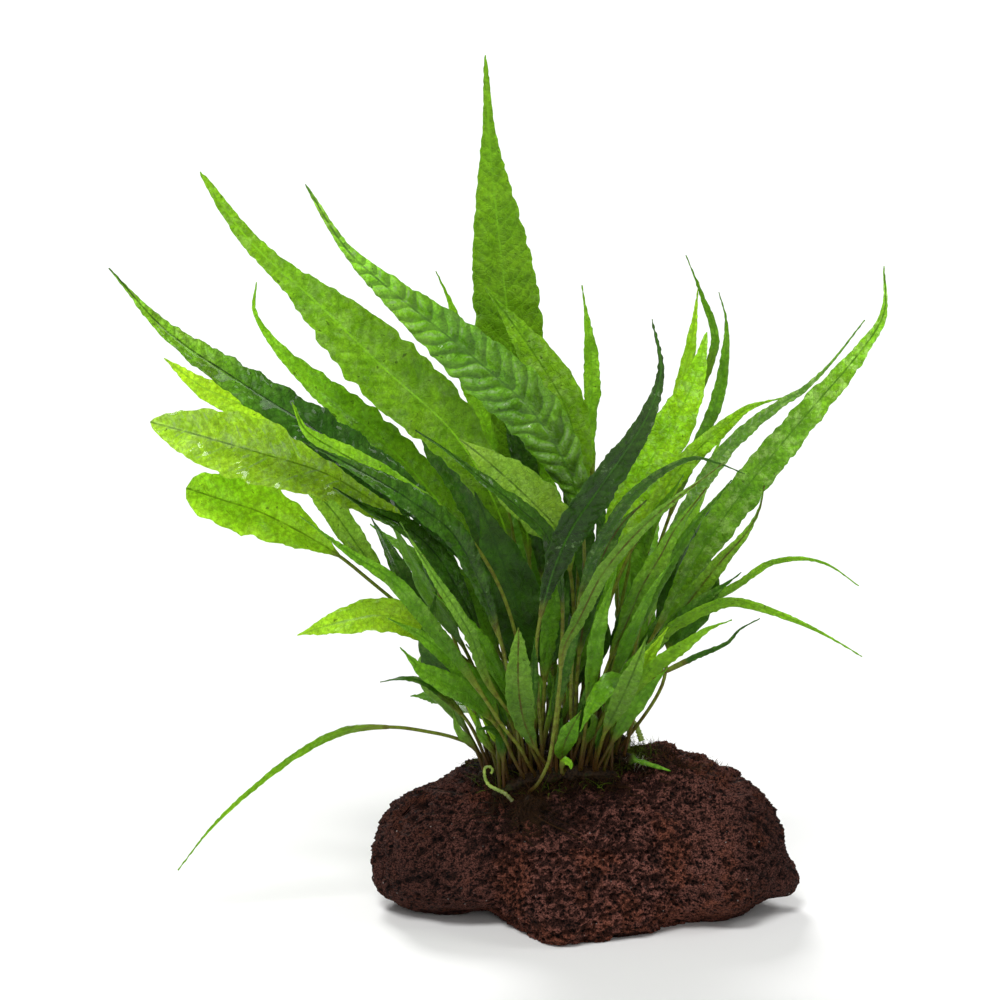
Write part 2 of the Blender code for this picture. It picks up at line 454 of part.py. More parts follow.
def build_stone(material):
    """The stone as rings of points from the rim of its flat sole up to its top."""
    turns = np.arange(STONE_COLUMNS) * (2.0 * math.pi / STONE_COLUMNS)
    rim = rim_angles(turns)
    heart = np.array(STONE_HEART)
    corners = []
    for row in range(STONE_ROWS):
        tilt = rim + (math.pi / 2.0 - rim) * row / STONE_ROWS
        ways = np.stack(
            [np.cos(turns) * np.cos(tilt), np.sin(turns) * np.cos(tilt), np.sin(tilt)], axis=1
        )
        ring = heart + ways * surface_along(heart, ways)[:, None]
        ring[:, 2] = 0.0 if row == 0 else np.maximum(ring[:, 2], SOLE_LIP)
        corners.extend(ring.tolist())
    corners.append((STONE_HEART.x, STONE_HEART.y, stone_top(STONE_HEART.x, STONE_HEART.y)))
    faces = [list(range(STONE_COLUMNS))]
    for row in range(STONE_ROWS - 1):
        start = row * STONE_COLUMNS
        for column in range(STONE_COLUMNS):
            after = (column + 1) % STONE_COLUMNS
            faces.append([start + column, start + after, start + STONE_COLUMNS + after])
            faces.append([start + column, start + STONE_COLUMNS + after, start + STONE_COLUMNS + column])
    last = (STONE_ROWS - 1) * STONE_COLUMNS
    for column in range(STONE_COLUMNS):
        faces.append([last + column, last + (column + 1) % STONE_COLUMNS, len(corners) - 1])
    new_object("stone", mesh_of("stone", corners, faces), material)


def smooth_curve(points):
    """A function of 0 to 1 that runs evenly along a smooth curve through the points."""
    knots = [Vector(point) for point in points]
    reach = [0.0]
    for before, after in zip(knots, knots[1:]):
        reach.append(reach[-1] + (after - before).length)
    slopes = []
    for number in range(len(knots)):
        low = max(number - 1, 0)
        high = min(number + 1, len(knots) - 1)
        slopes.append((knots[high] - knots[low]) / (reach[high] - reach[low]))

    def at(way):
        number = max(0, min(len(knots) - 2, int(np.searchsorted(reach, way, side="right")) - 1))
        span = reach[number + 1] - reach[number]
        share = (way - reach[number]) / span
        square, cube = share**2, share**3
        return (
            knots[number] * (2.0 * cube - 3.0 * square + 1.0)
            + slopes[number] * (span * (cube - 2.0 * square + share))
            + knots[number + 1] * (3.0 * square - 2.0 * cube)
            + slopes[number + 1] * (span * (cube - square))
        )

    return lambda share: at(share * reach[-1]), reach[-1]


def frame_along(curve, share, roll):
    """Place, side and face of a blade: at no roll its face looks at the front view's eye."""
    step = 0.004
    place = curve(share)
    ahead = (curve(min(share + step, 1.0)) - curve(max(share - step, 0.0))).normalized()
    to_eye = Vector((0.0, -math.cos(VIEW_RISE), math.sin(VIEW_RISE)))
    face = (to_eye - ahead * to_eye.dot(ahead)).normalized()
    side = ahead.cross(face)
    turned = face * math.cos(roll) + side * math.sin(roll)
    return place, ahead.cross(turned), turned


def blade_width(share, width, start, peak, slender):
    """Width of a leaf at a share of its length: stalk, swelling blade and drawn-out tip."""
    if share <= start:
        return STALK
    if share < peak:
        fall = (peak - share) / (peak - start)
        return max(STALK, width * (1.0 - fall**2) ** 1.5)
    fall = (share - peak) / (1.0 - peak)
    return max(TIP_WIDTH, width * (1.0 - fall**2) ** slender)


def rhizome_line(name):
    """Centre points and radii of a rhizome lying on the stone."""
    line = []
    for x, y, radius in RHIZOMES[name]:
        height = stone_top(x, y, RHIZOME_FOOTPRINT) + radius + RHIZOME_CLEARANCE
        line.append((x, y, height, radius))
    return line


def foot_of(line, side, x):
    """Where a leaf stands on a rhizome's line, just clear of its bark."""
    for before, after in zip(line, line[1:]):
        if before[0] <= x <= after[0]:
            share = (x - before[0]) / (after[0] - before[0])
            middle = [a + (b - a) * share for a, b in zip(before, after)]
    away = middle[3] + FOOT_GAP + STALK / 2.0
    return (
        middle[0],
        middle[1] + side * away * math.sin(FOOT_LEAN),
        middle[2] + away * math.cos(FOOT_LEAN),
    )


def build_leaf(row, lines, material):
    """A leaf as one closed solid: a thin stalk that widens into a shallow folded blade."""
    name, rhizome, side, x, _, width, start, peak, slender, roll, route = row
    foot = foot_of(lines[rhizome], side, x)
    curve, length = smooth_curve([foot] + [fanned(*point) for point in route])
    count = max(6, round(length / SEGMENT))
    corners = []
    for number in range(count):
        share = number / count
        place, across, face = frame_along(curve, share, math.radians(roll))
        wide = blade_width(share, width, start, peak, slender)
        thick = STALK if wide <= STALK else BLADE_THICKNESS
        lift = face * (BLADE_FOLD * (wide - min(wide, STALK)) / 2.0)
        corners.append(place + across * (wide / 2.0) + lift)
        corners.append(place + face * (thick / 2.0))
        corners.append(place - across * (wide / 2.0) + lift)
        corners.append(place - face * (thick / 2.0))
    corners.append(curve(1.0))
    faces = [[0, 1, 2, 3]]
    for number in range(count - 1):
        for corner in range(4):
            low = number * 4 + corner
            beside = number * 4 + (corner + 1) % 4
            faces.append([low, beside, beside + 4])
            faces.append([low, beside + 4, low + 4])
    last = (count - 1) * 4
    faces.extend([last + corner, last + (corner + 1) % 4, len(corners) - 1] for corner in range(4))
    new_object(name, mesh_of(name, corners, faces), material)


def build_tube(name, points, radius_at, sides, count, material):
    """A round stem along the points, with a closed blunt end at each side."""
    curve, _ = smooth_curve(points)
    corners = []
    for number in range(count):
        share = number / (count - 1)
        place = curve(share)
        ahead = (curve(min(share + 0.01, 1.0)) - curve(max(share - 0.01, 0.0))).normalized()
        level = ahead.cross(Vector((0.3, -1.0, 0.1))).normalized()
        raised = ahead.cross(level)
        radius = radius_at(share)
        for corner in range(sides):
            turn = 2.0 * math.pi * corner / sides
            corners.append(place + (level * math.cos(turn) + raised * math.sin(turn)) * radius)
    faces = [list(range(sides)), list(range((count - 1) * sides, count * sides))]
    for number in range(count - 1):
        for corner in range(sides):
            low = number * sides + corner
            beside = number * sides + (corner + 1) % sides
            faces.append([low, beside, beside + sides])
            faces.append([low, beside + sides, low + sides])
    new_object(name, mesh_of(name, corners, faces), material)


def build_rhizome(name, line, material):
    """A creeping stem whose thickness follows the radii of its points."""
    points = [Vector(point[:3]) for point in line]
    reach = np.cumsum([0.0] + [(b - a).length for a, b in zip(points, points[1:])])
    radii = [point[3] for point in line]
    count = max(4, round(reach[-1] / RHIZOME_STEP) + 1)
    build_tube(
        name,
        points,
        lambda share: float(np.interp(share * reach[-1], reach, radii)),
        RHIZOME_SIDES,
        count,
        material,
    )


def build_fiddlehead(material):
    """A young leaf whose end is still coiled."""
    points = [from_front(*point) for point in FIDDLEHEAD_ROUTE]
    centre = points[-1] + Vector((COIL_RADIUS, 0.0, 0.0))
    for number in range(1, COIL_POINTS + 1):
        turn = math.pi - COIL_TURN * number / COIL_POINTS
        points.append(centre + Vector((math.cos(turn), 0.0, math.sin(turn))) * COIL_RADIUS)
    build_tube(
        "fiddlehead",
        points,
        lambda share: FIDDLEHEAD_RADIUS * (1.0 - 0.35 * share),
        5,
        18,
        material,
    )


def build_arched_frond(material):
    """A small young leaf that arches over at the right of the foot."""
    points = [from_front(*point) for point in ARCH_ROUTE]
    build_tube(
        "arched_frond",
        points,
        lambda share: ARCH_RADIUS * (0.8 + 0.5 * share),
        5,
        10,
        material,
    )


def main():
    for thing in list(bpy.data.objects):
        bpy.data.objects.remove(thing, do_unlink=True)
    tones = {name: finish("leaf_" + name, colour, 0.32) for name, colour in TONES.items()}
    build_stone(finish("lava_stone", (0.045, 0.02, 0.016), 0.95))
    bark = finish("rhizome_bark", (0.05, 0.045, 0.015), 0.7)
    lines = {name: rhizome_line(name) for name in RHIZOMES}
    for name, line in lines.items():
        build_rhizome(name, line, bark)
    for row in LEAVES:
        build_leaf(row, lines, tones[row[4]])
    young = finish("young_frond", (0.2, 0.36, 0.04), 0.4)
    build_fiddlehead(young)
    build_arched_frond(young)


main()
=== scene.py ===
"""Looks of the java fern on its lava stone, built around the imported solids.

Sizes are in millimetres and become metres where a mesh is made. The stone's form, the rhizomes' lines and
the leaves' routes are those of the solids. The origin is the middle of the stone's sole, +Z is up and the
front of the plant faces -Y. Routes are laid out on the front view: across, up and depth along Y.
"""

import math

import bpy
import numpy as np
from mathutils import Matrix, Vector
from mathutils.kdtree import KDTree


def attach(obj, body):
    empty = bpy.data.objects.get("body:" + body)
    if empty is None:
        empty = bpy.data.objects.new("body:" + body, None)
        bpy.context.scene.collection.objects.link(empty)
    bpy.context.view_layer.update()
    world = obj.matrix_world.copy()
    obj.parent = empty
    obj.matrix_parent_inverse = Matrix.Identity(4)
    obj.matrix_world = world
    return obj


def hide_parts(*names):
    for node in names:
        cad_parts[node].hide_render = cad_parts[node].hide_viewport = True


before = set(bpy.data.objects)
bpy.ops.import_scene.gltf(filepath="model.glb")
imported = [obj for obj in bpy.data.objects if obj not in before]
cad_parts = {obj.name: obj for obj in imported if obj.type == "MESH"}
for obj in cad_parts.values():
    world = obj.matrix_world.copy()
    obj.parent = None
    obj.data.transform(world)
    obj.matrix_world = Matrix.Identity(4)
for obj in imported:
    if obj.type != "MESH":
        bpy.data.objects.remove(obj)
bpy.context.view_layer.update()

MM = 0.001
BODY = "root"
SHARP_EDGE = math.radians(75.0)
WAVE_COUNT = 9

# Seeds of the random draws and waves. The leaves of each kind count up from its seed in equal steps.
SEEDS = {
    "swellings": 11,
    "pits": 5,
    "pores": 23,
    "grain": 31,
    "lumps": 41,
    "crumbs": 42,
    "foot": 43,
    "fine crumbs": 44,
    "bark": 51,
    "fine bark": 52,
    "young": 55,
    "roots": 61,
    "tip hairs": 79,
    "leaves": 100,
    "inner places": 301,
    "small leaves": 900,
    "inner leaves": 2000,
}
SEED_STEP = 10

# Studio: light from all around, and soft lamps as (direction that they stand in, strength, width in degrees)
WORLD_LIGHT = 0.22
SUNS = {
    "key": ((-0.2, -0.5, 0.9), 2.0, 20.0),
    "right": ((0.75, -0.1, 0.9), 0.5, 18.0),
    "front": ((0.1, -0.9, 0.45), 0.55, 30.0),
    "back": ((-0.25, 0.75, 0.7), 1.9, 20.0),
}

# The front view: how far away its eye is and how steeply it looks down, its middle and the height that
# routes are laid out about, its width and its sensor. Then, in metres, how far it sees, and the floor's
# disc: its radius and how far below the sole it lies.
VIEW_DISTANCE = 900.0
VIEW_RISE = math.radians(13.0)
VIEW_MIDDLE = np.array([-21.5, 0.0, 107.5])
VIEW_MIDDLE_UP = 102.0
VIEW_WIDTH = 250.0
SENSOR = 36.0
FARTHEST = 30.0
FLOOR_RADIUS = 12.0
FLOOR_DEPTH = 0.0002
FLOOR_SIDES = 96
FLOOR_COLOUR = (0.84, 0.84, 0.83)
FORWARD = np.array([0.0, math.cos(VIEW_RISE), -math.sin(VIEW_RISE)])
UPWARD = np.array([0.0, math.sin(VIEW_RISE), math.cos(VIEW_RISE)])
EYE = VIEW_MIDDLE - FORWARD * VIEW_DISTANCE

# Stone: round lobes as (centre, half sizes), blended where they meet
STONE_LOBES = {
    "body": ((2, 4, 16), (36, 28, 26)),
    "left": ((-32, 3, 15.6), (22, 21, 16)),
    "left foot": ((-39, 2, 9), (13.5, 13, 8)),
    "left shoulder": ((-22, 6, 21), (19, 18, 15.5)),
    "front": ((-4, -11, 11), (17.5, 18.5, 20)),
    "front shoulder": ((-9, -11, 20), (16, 13, 15)),
    "front right": ((10, -8, 11), (16, 16.5, 19)),
    "right": ((30, 0, 16), (20.5, 21, 19)),
    "right shoulder": ((20, 4, 22.5), (20, 18, 18.8)),
    "far right knob": ((49.5, 2, 8.5), (5.5, 7, 5)),
    "ledge": ((10, -17.5, 25.5), (12, 7, 5)),
    "back left": ((-14, 18, 13), (22, 14, 17)),
    "back right": ((19, 17, 14), (20, 14, 17)),
}
LOBE_BLEND = 1.8
HEART = np.array([0.0, 2.0, 15.0])
STONE_REACH = 75.0
SWELL_COUNT = 14
SWELL_SIZE = 0.32
SWELL_LENGTHS = (9.0, 22.0)
PIT_COUNT = 46
PIT_RADIUS = (2.6, 4.6)
PIT_DEPTH = (0.7, 1.7)
PIT_RISES = (-0.1, 1.1)
PIT_SHELL = (50.0, 34.0, 28.0)
PIT_MIDDLE = 16.0
CREASES = {
    "left of the front lobe": ((-21, -24, 10), (6, 16, 15), 2.2),
    "under the ledge": ((14, -31, 23), (15, 7, 2.6), 2.0),
    "hollow under the plant": ((-8, -24, 33), (9, 7, 5), 1.4),
    "right of the front lobe": ((22, -24, 6), (4, 12, 9), 2.0),
    "saddle under the plant": ((-5, 9, 44), (16, 14, 9), 2.4),
    "dark hollow below the ledge": ((20.4, -22.4, 23.7), (6, 5, 4.5), 1.1),
    "below the plant on the left": ((-11, -23, 27), (5, 4, 4), 0.8),
    "groove down the left lobe": ((-30, -18, 18.5), (2.8, 6, 9), 0.8),
    "hollow on the left shoulder": ((-31, -12.5, 27), (4, 3.5, 3.5), 0.8),
    "hollow on the right shoulder": ((32.5, -14, 29), (3.5, 4.5, 5.5), 1.0),
    "groove down the right side": ((41.2, -17.6, 18.4), (3, 5, 6), 0.8),
    "between the front lobes": ((7.8, -26, 17), (3.5, 5, 9), 1.0),
    "above the lower right knob": ((29.9, -19.5, 11), (3, 5, 4.5), 0.9),
    "under the left lobe": ((-35, -14, 1), (16, 6, 3.2), 2.2),
    "under the right lobe": ((25, -17, 1), (8, 6, 3.6), 2.4),
    "far left": ((-54, 0, 20), (5, 12, 9), 0.8),
}
KNOBS = {
    "end of the ledge": ((6, -18.5, 32.6), (4.5, 4, 3.2), 1.3),
    "top of the ledge": ((17.4, -14.6, 33.2), (6.5, 5, 3.5), 0.8),
    "front lobe": ((-6.6, -28, 20.3), (8, 6, 7), 0.8),
    "foot of the front lobe": ((-7, -30, 5), (7, 5, 6), 1.3),
    "front right lobe": ((23.5, -20.4, 14), (6, 5, 6), 0.9),
    "lower right": ((36, -18.5, 7.5), (5, 5, 4), 0.8),
    "left shoulder": ((-36.5, -1, 31.5), (6.5, 9, 4.5), 1.5),
    "middle of the left lobe": ((-24.8, -16.7, 21.2), (4.5, 5, 5), 0.8),
    "lip under the left lobe": ((-33, -16, 9.5), (11, 5, 2.6), 0.8),
    "right shoulder": ((38, -4, 31.5), (9, 9, 5), 0.9),
}

# The stone's fine surface: rings and rows of points, pores as (count, radii, depths), and its grain
STONE_COLUMNS = 640
STONE_ROWS = 250
PORES = {
    "hollows": (90, (1.5, 2.6), (0.7, 1.5)),
    "pores": (2000, (0.75, 1.4), (0.7, 1.5)),
    "pinholes": (9000, (0.42, 0.75), (0.45, 0.9)),
}
GRAIN = 0.12
STREAK = 1.5
SPONGE = 1.25
SKIN = 0.3
LUMPS = (0.26, 6.0)
CRUMBS = (0.55, 3.0, 1.5)
CRUMBLY_FROM = (2.0, 18.0)

# Painted shade: dark parts of the stone in a hollow and under the plant, as (centre, half sizes, share). And
# painted light: how much paler than its sides the middle of the stone is, which stands in the plant's shade
SHADED_HOLLOW = ((-10.0, -21.0, 33.0), (11.0, 6.0, 5.0), 0.8)
UNDER_PLANT = ((-8.0, 0.0, 43.0), (17.0, 13.0, 5.0), 0.85)
DARKEST_PAINTED_SHADE = 0.94
PAINTED_LIGHT_MIDDLE = 1.45
PAINTED_LIGHT_FALL = 0.93
PAINTED_LIGHT_CENTRE = 4.0
PAINTED_LIGHT_SPAN = (12.0, 46.0)

# How closely the stone's surface is searched for: halvings of a distance and of the rim's angle, the
# lowest such angle, how far each way its slope is felt, the steps of the search from in front and how
# many of each, and how far in front and behind that search goes
HALVINGS = 9
RIM_HALVINGS = 24
RIM_LOWEST = math.radians(-70.0)
NORMAL_STEP = 0.4
SEARCH_STEPS = (4.0, 1.0, 0.25, 0.05)
SEARCH_COUNT = 40
STONE_SIDE = 60.0

# Rhizomes: (x, y) points along the top of the stone, and the radius at each. Then how clear they lie of
# the stone, half the width of the square that each point's height is taken from, the step between rows of
# points and how many are in each, and the x over which the growing tip turns green. Stalks stand this far
# clear of the bark, at this angle from upright.
RHIZOMES = {
    "rhizome_spur": [(-17.2, -19, 0.8), (-14.5, -18.6, 1.2), (-11, -18.6, 0.8)],
    "rhizome_front": [
        (-23.5, -12.5, 1.1),
        (-17, -13, 1.6),
        (-8, -12.8, 1.7),
        (1, -12.8, 1.5),
        (8, -12, 1.0),
    ],
    "rhizome_middle": [
        (-27, -5, 1.0),
        (-20, -5, 1.7),
        (-6, -5.2, 1.8),
        (6, -5.5, 1.6),
        (13, -7, 1.2),
        (21.5, -9, 0.8),
    ],
    "rhizome_back": [(-25.5, 5, 1.1), (-16, 5, 1.7), (-2, 5.2, 1.8), (12, 4.6, 1.1)],
    "rhizome_rear": [(-20.5, 13, 1.0), (-10, 13.4, 1.6), (2, 13.4, 1.6), (11.5, 12.5, 1.0)],
}
RHIZOME_CLEARANCE = 0.7
RHIZOME_FOOTPRINT = 1.5
RHIZOME_STEP = 0.6
RHIZOME_SIDES = 22
GROWING_FROM = (11.0, 13.5)
FOOT_GAP = 0.5
FOOT_LEAN = math.radians(42.0)

# Width of a stalk and of a blade's tip, and how full that tip is
STALK = 1.25
TIP_WIDTH = 0.25
TIP_FULLNESS = 0.3

# Sides of a rhizome that stalks rise from
FRONT = -1
BACK = 1

# The leaves fan out forwards and backwards from this depth, more and more between two heights
FAN_MIDDLE = -3.0
FAN_SPREAD = 0.6
FAN_HEIGHTS = (35.0, 100.0)

# Leaves: name, rhizome, side of it, x of the foot, tone, width, where the blade starts and where it
# is widest (shares of the length), how slender its tip is, roll in degrees, and the route as
# (across, up, depth) from above the foot to the tip
LEAVES = [
    # The front row, nearest to the eye
    ("leaf_front_1", "rhizome_spur", BACK, -14.2, "matt", 4.0, 0.30, 0.62, 1.6, 20,
     [(-11.9, 31.3, -22.5), (-9.4, 36.5, -25.5), (-8.1, 44, -28), (-6.6, 56, -30), (-5.6, 65, -31),
      (-1.9, 72, -31.5), (4.7, 84.5, -33), (16, 97, -33), (34.7, 111.5, -30)]),
    ("leaf_front_2", "rhizome_front", FRONT, -12.8, "green", 4.2, 0.22, 0.60, 1.6, 20,
     [(-14.4, 36, -18), (-16.4, 39.8, -20), (-18.4, 42.4, -21.3), (-21.2, 45.9, -22.5),
      (-23.8, 50, -23.5), (-30.5, 60, -25), (-38.7, 70.5, -27), (-48.7, 82, -29), (-58.7, 88.5, -30),
      (-71.5, 98, -30)]),
    ("leaf_front_3", "rhizome_front", FRONT, -10.9, "matt", 3.4, 0.22, 0.60, 1.6, 25,
     [(-12.6, 37.6, -17.5), (-14.8, 42.4, -19), (-17.4, 46.8, -20.5), (-21.2, 51.5, -22),
      (-25.2, 57.9, -23.2), (-29.3, 69, -25), (-38.2, 83, -26), (-46.5, 96.5, -26)]),
    ("leaf_front_4", "rhizome_front", FRONT, -9.0, "matt", 6.8, 0.12, 0.60, 0.9, 10,
     [(-11.6, 38.2, -18.5), (-13.4, 41.5, -20.5), (-15.6, 47, -23), (-16.9, 55.5, -25.5),
      (-16.9, 70, -28)]),
    ("leaf_front_5", "rhizome_front", FRONT, -5.6, "green", 5.0, 0.10, 0.55, 1.4, 15,
     [(-6.0, 39, -19), (-4.2, 44, -21.5), (-1.2, 49.4, -23)]),
    ("leaf_front_6", "rhizome_front", FRONT, 2.2, "matt", 5.4, 0.22, 0.62, 1.6, 12,
     [(4.7, 44, -21), (8.7, 52, -25), (12.5, 60.7, -27.5), (15.4, 68.5, -28.5)]),
    # Leaves behind the front row
    ("leaf_left_1", "rhizome_front", FRONT, -15.6, "green", 5.7, 0.30, 0.66, 1.6, 25,
     [(-18.2, 37.5, -15.5), (-21, 43.5, -16.5), (-24.5, 48, -17.5), (-29.5, 53, -19),
      (-35.5, 56.5, -20), (-41, 59.5, -21), (-46.5, 65.2, -21)]),
    ("leaf_left_2", "rhizome_front", BACK, -19.5, "green", 5.4, 0.22, 0.62, 1.6, 25,
     [(-23.5, 51, -14.5), (-32.2, 60.5, -15.5), (-40.5, 67.5, -16), (-49.5, 72.5, -16)]),
    ("leaf_left_3", "rhizome_front", BACK, -16.2, "deep", 7.4, 0.28, 0.68, 1.7, 30,
     [(-18.5, 54.5, -15.5), (-24.5, 76, -18.5), (-33, 93, -21), (-45, 102.5, -23),
      (-57.7, 110, -24), (-70.7, 116.7, -24)]),
    ("leaf_left_4", "rhizome_front", BACK, -13.6, "bright", 5.6, 0.55, 0.80, 1.5, 25,
     [(-15.5, 58, -14.5), (-21.5, 80, -16.5), (-33, 97, -17), (-46.5, 105.5, -17),
      (-62.7, 114.5, -17), (-70.2, 119.5, -17), (-73.5, 126.5, -17)]),
    ("leaf_right_1", "rhizome_front", BACK, -10.6, "deep", 8.6, 0.30, 0.62, 2.0, 25,
     [(-12, 54, -16), (-12.3, 67, -18), (-9, 82, -20.5), (-4, 94, -22.5), (4, 106, -24),
      (14.7, 122, -24.5), (18.7, 134.5, -24.5), (16.5, 147.2, -24.5)]),
    ("leaf_left_5", "rhizome_front", BACK, -7.4, "deep", 6.6, 0.35, 0.66, 2.0, 58,
     [(-6.8, 55, -15), (-6, 77, -17), (-10, 93, -18), (-17, 100, -18.5), (-26.5, 107.5, -18.5),
      (-35.2, 114.5, -18.5), (-42.7, 119.5, -18.5)]),
    ("leaf_right_2", "rhizome_front", BACK, -3.6, "deep", 3.6, 0.30, 0.60, 1.6, 30,
     [(-3.4, 62, -17), (0.8, 85, -19.5), (8.5, 99.5, -22.5), (14.7, 106, -24.5), (21, 110.3, -26),
      (27.2, 112.5, -26.5), (33, 111.2, -26.5), (39.7, 108.5, -26)]),
    ("leaf_right_3", "rhizome_front", BACK, 0.2, "green", 6.0, 0.30, 0.62, 1.5, 20,
     [(3.4, 46, -14.5), (7.6, 53, -18), (6.0, 56, -21), (1.5, 50.5, -23), (-1.5, 44, -24)]),
    ("leaf_right_4", "rhizome_front", BACK, 4.6, "bright", 4.2, 0.25, 0.60, 1.5, 25,
     [(9.8, 51, -16), (17.4, 60.6, -18.5), (24, 65.2, -20), (30.2, 69.6, -21),
      (36.5, 72, -21.5)]),
    # Leaves from the front of the middle rhizome
    ("leaf_left_6", "rhizome_middle", FRONT, -22.5, "deep", 6.2, 0.30, 0.66, 1.7, 30,
     [(-25, 62, -9.5), (-35.2, 85, -12), (-44, 94.5, -13), (-54, 99.5, -13.5), (-63.2, 105.2, -13.5)]),
    ("leaf_left_7", "rhizome_middle", FRONT, -19.0, "deep", 11.6, 0.25, 0.58, 1.3, 32,
     [(-20.5, 64, -9), (-30.2, 87, -10.5), (-44, 102, -11.5), (-64, 117, -12.5), (-86.5, 131.5, -13),
      (-105.2, 144.5, -13), (-119.3, 160, -13)]),
    ("leaf_centre_1", "rhizome_middle", FRONT, -14.6, "deep", 13.0, 0.22, 0.60, 1.6, 4,
     [(-14.8, 61, -10.5), (-17.7, 77, -12.5), (-22.7, 91.5, -14), (-27.8, 104, -15)]),
    ("leaf_centre_2", "rhizome_middle", FRONT, -7.2, "matt", 12.2, 0.50, 0.74, 1.3, 8,
     [(-4.5, 57, -9), (-3.2, 77, -10.5), (-6.5, 93.2, -11.5), (-13.5, 101.5, -11.8),
      (-25, 112, -11.5), (-31.7, 117.3, -11)]),
    ("leaf_right_5", "rhizome_middle", FRONT, -3.2, "deep", 6.4, 0.30, 0.62, 1.7, 25,
     [(-1.6, 64.5, -10.5), (1, 79.5, -13), (4.6, 89, -15), (9, 96.2, -16.5), (15.2, 102, -17)]),
    ("leaf_right_6", "rhizome_middle", FRONT, 0.8, "green", 6.5, 0.28, 0.60, 1.8, 28,
     [(4.2, 57, -9.5), (11, 73.5, -12), (13.7, 80, -13), (18.5, 88, -14), (22, 94.5, -14.5),
      (30.2, 105.2, -14.5)]),
    ("leaf_right_7", "rhizome_middle", FRONT, 4.4, "green", 5.2, 0.25, 0.56, 1.8, 28,
     [(9.6, 53, -8.3), (19.7, 68.6, -9.3), (26, 77, -10), (33.5, 86.5, -10.5), (39.7, 93.5, -10.5),
      (43.2, 99.5, -10.5), (44.6, 105.6, -10.5)]),
    ("leaf_right_8", "rhizome_middle", FRONT, 7.6, "bright", 3.7, 0.20, 0.42, 1.6, 35,
     [(11.8, 53, -10.5), (16.2, 63.5, -12.2), (20.4, 69.2, -13), (26.2, 73, -14), (36.5, 76.6, -15),
      (47.2, 73.9, -16), (56.5, 70, -16.5), (64.5, 65.6, -16.5), (69, 62.8, -16.5)]),
    # Leaves from the back of the middle rhizome
    ("leaf_left_8", "rhizome_middle", BACK, -24.8, "bright", 2.6, 0.20, 0.45, 1.5, 40,
     [(-28.5, 40.6, -4), (-33, 42.6, -4.2), (-38, 43.8, -4.4), (-48, 45.2, -4.8), (-59.5, 44.4, -5),
      (-70.7, 39.2, -5), (-83.5, 29.6, -5), (-93.7, 20, -5), (-102, 9.5, -5)]),
    ("leaf_left_9", "rhizome_middle", BACK, -22.2, "glow", 9.2, 0.38, 0.70, 1.2, 20,
     [(-24.5, 49, -3.5), (-31, 60, -3.5), (-41, 69.5, -3.5), (-50, 73, -3.5), (-60.2, 71.7, -3.5),
      (-72.2, 68.2, -3.5)]),
    ("leaf_left_10", "rhizome_middle", BACK, -19.2, "glow", 15.2, 0.60, 0.82, 1.15, 18,
     [(-23, 54, -2.5), (-34.5, 66, -0.5), (-44.5, 74, 0), (-53, 81, 0.5), (-61.7, 88, 1),
      (-71, 93.7, 1.5), (-81.7, 99, 2), (-91, 102, 2), (-100, 105, 2)]),
    ("leaf_left_11", "rhizome_middle", BACK, -16.0, "glow", 16.8, 0.42, 0.76, 1.3, 14,
     [(-20, 58, -4), (-32, 79.5, -4.5), (-45, 95, -4.5), (-56, 103.5, -4.5), (-66.2, 109, -4.5),
      (-81.2, 113.6, -4), (-96.2, 118, -3.5), (-109, 121.5, -3)]),
    ("leaf_left_12", "rhizome_middle", BACK, -12.4, "bright", 17.6, 0.28, 0.62, 2.2, 10,
     [(-14.5, 67, -4), (-20.2, 94.5, -5), (-32.2, 117.5, -5), (-51.2, 135.5, -4), (-68, 152, -3),
      (-84.5, 167.2, -2.5), (-96.5, 184, -2.5)]),
    ("leaf_left_13", "rhizome_middle", BACK, -5.6, "green", 14.6, 0.30, 0.58, 2.2, -14,
     [(-2.4, 62, -5), (-0.4, 87, -6), (-2.4, 104, -7), (-7.5, 115.5, -8), (-15, 126, -8.5),
      (-26.2, 136, -9), (-37.2, 145.2, -9.5), (-48.2, 154, -10), (-60, 165, -10.5), (-70.2, 181, -10.5)]),
    ("leaf_right_9", "rhizome_middle", BACK, 0.2, "bright", 5.8, 0.45, 0.70, 1.6, 25,
     [(4.5, 72, -4.5), (14, 95, -5), (20.5, 106, -5.5), (26.5, 113.3, -6), (33.5, 119.5, -6),
      (40.5, 125, -6), (49.7, 127.7, -6)]),
    ("leaf_right_10", "rhizome_middle", BACK, 3.4, "green", 4.4, 0.30, 0.60, 2.2, 30,
     [(9.5, 70, -5), (21.5, 94, -7), (32.2, 111, -8.5), (37.2, 117, -9), (42.2, 121.5, -9.5),
      (48.5, 126, -9.5), (54.7, 130, -9.5), (61, 136, -9.5), (69.7, 147, -9.5)]),
    ("leaf_right_11", "rhizome_middle", BACK, 6.6, "green", 9.4, 0.18, 0.52, 1.3, 24,
     [(11.8, 58, -4.5), (20.7, 75, -5), (29.5, 90.5, -5.5), (42.2, 108, -6), (56, 124.5, -6.5),
      (68.2, 138.8, -6.5), (74.3, 148.5, -6.5), (74.5, 160.5, -6.5)]),
    # Leaves from the back rhizome
    ("leaf_left_14", "rhizome_back", FRONT, -23.2, "matt", 7.0, 0.55, 0.80, 1.3, 20,
     [(-26, 55, 2), (-39, 70, 5), (-55.2, 88, 8), (-64, 100, 10), (-72.5, 107.5, 11)]),
    ("leaf_left_15", "rhizome_back", FRONT, -19.6, "glow", 9.8, 0.45, 0.72, 1.7, 15,
     [(-24, 62, 3), (-38, 85, 5), (-52, 103, 7), (-66.5, 116, 9), (-82.7, 124.5, 10), (-95.5, 130, 11),
      (-105.5, 137.5, 12)]),
    ("leaf_left_16", "rhizome_back", FRONT, -16.0, "bright", 9.8, 0.30, 0.60, 2.0, 18,
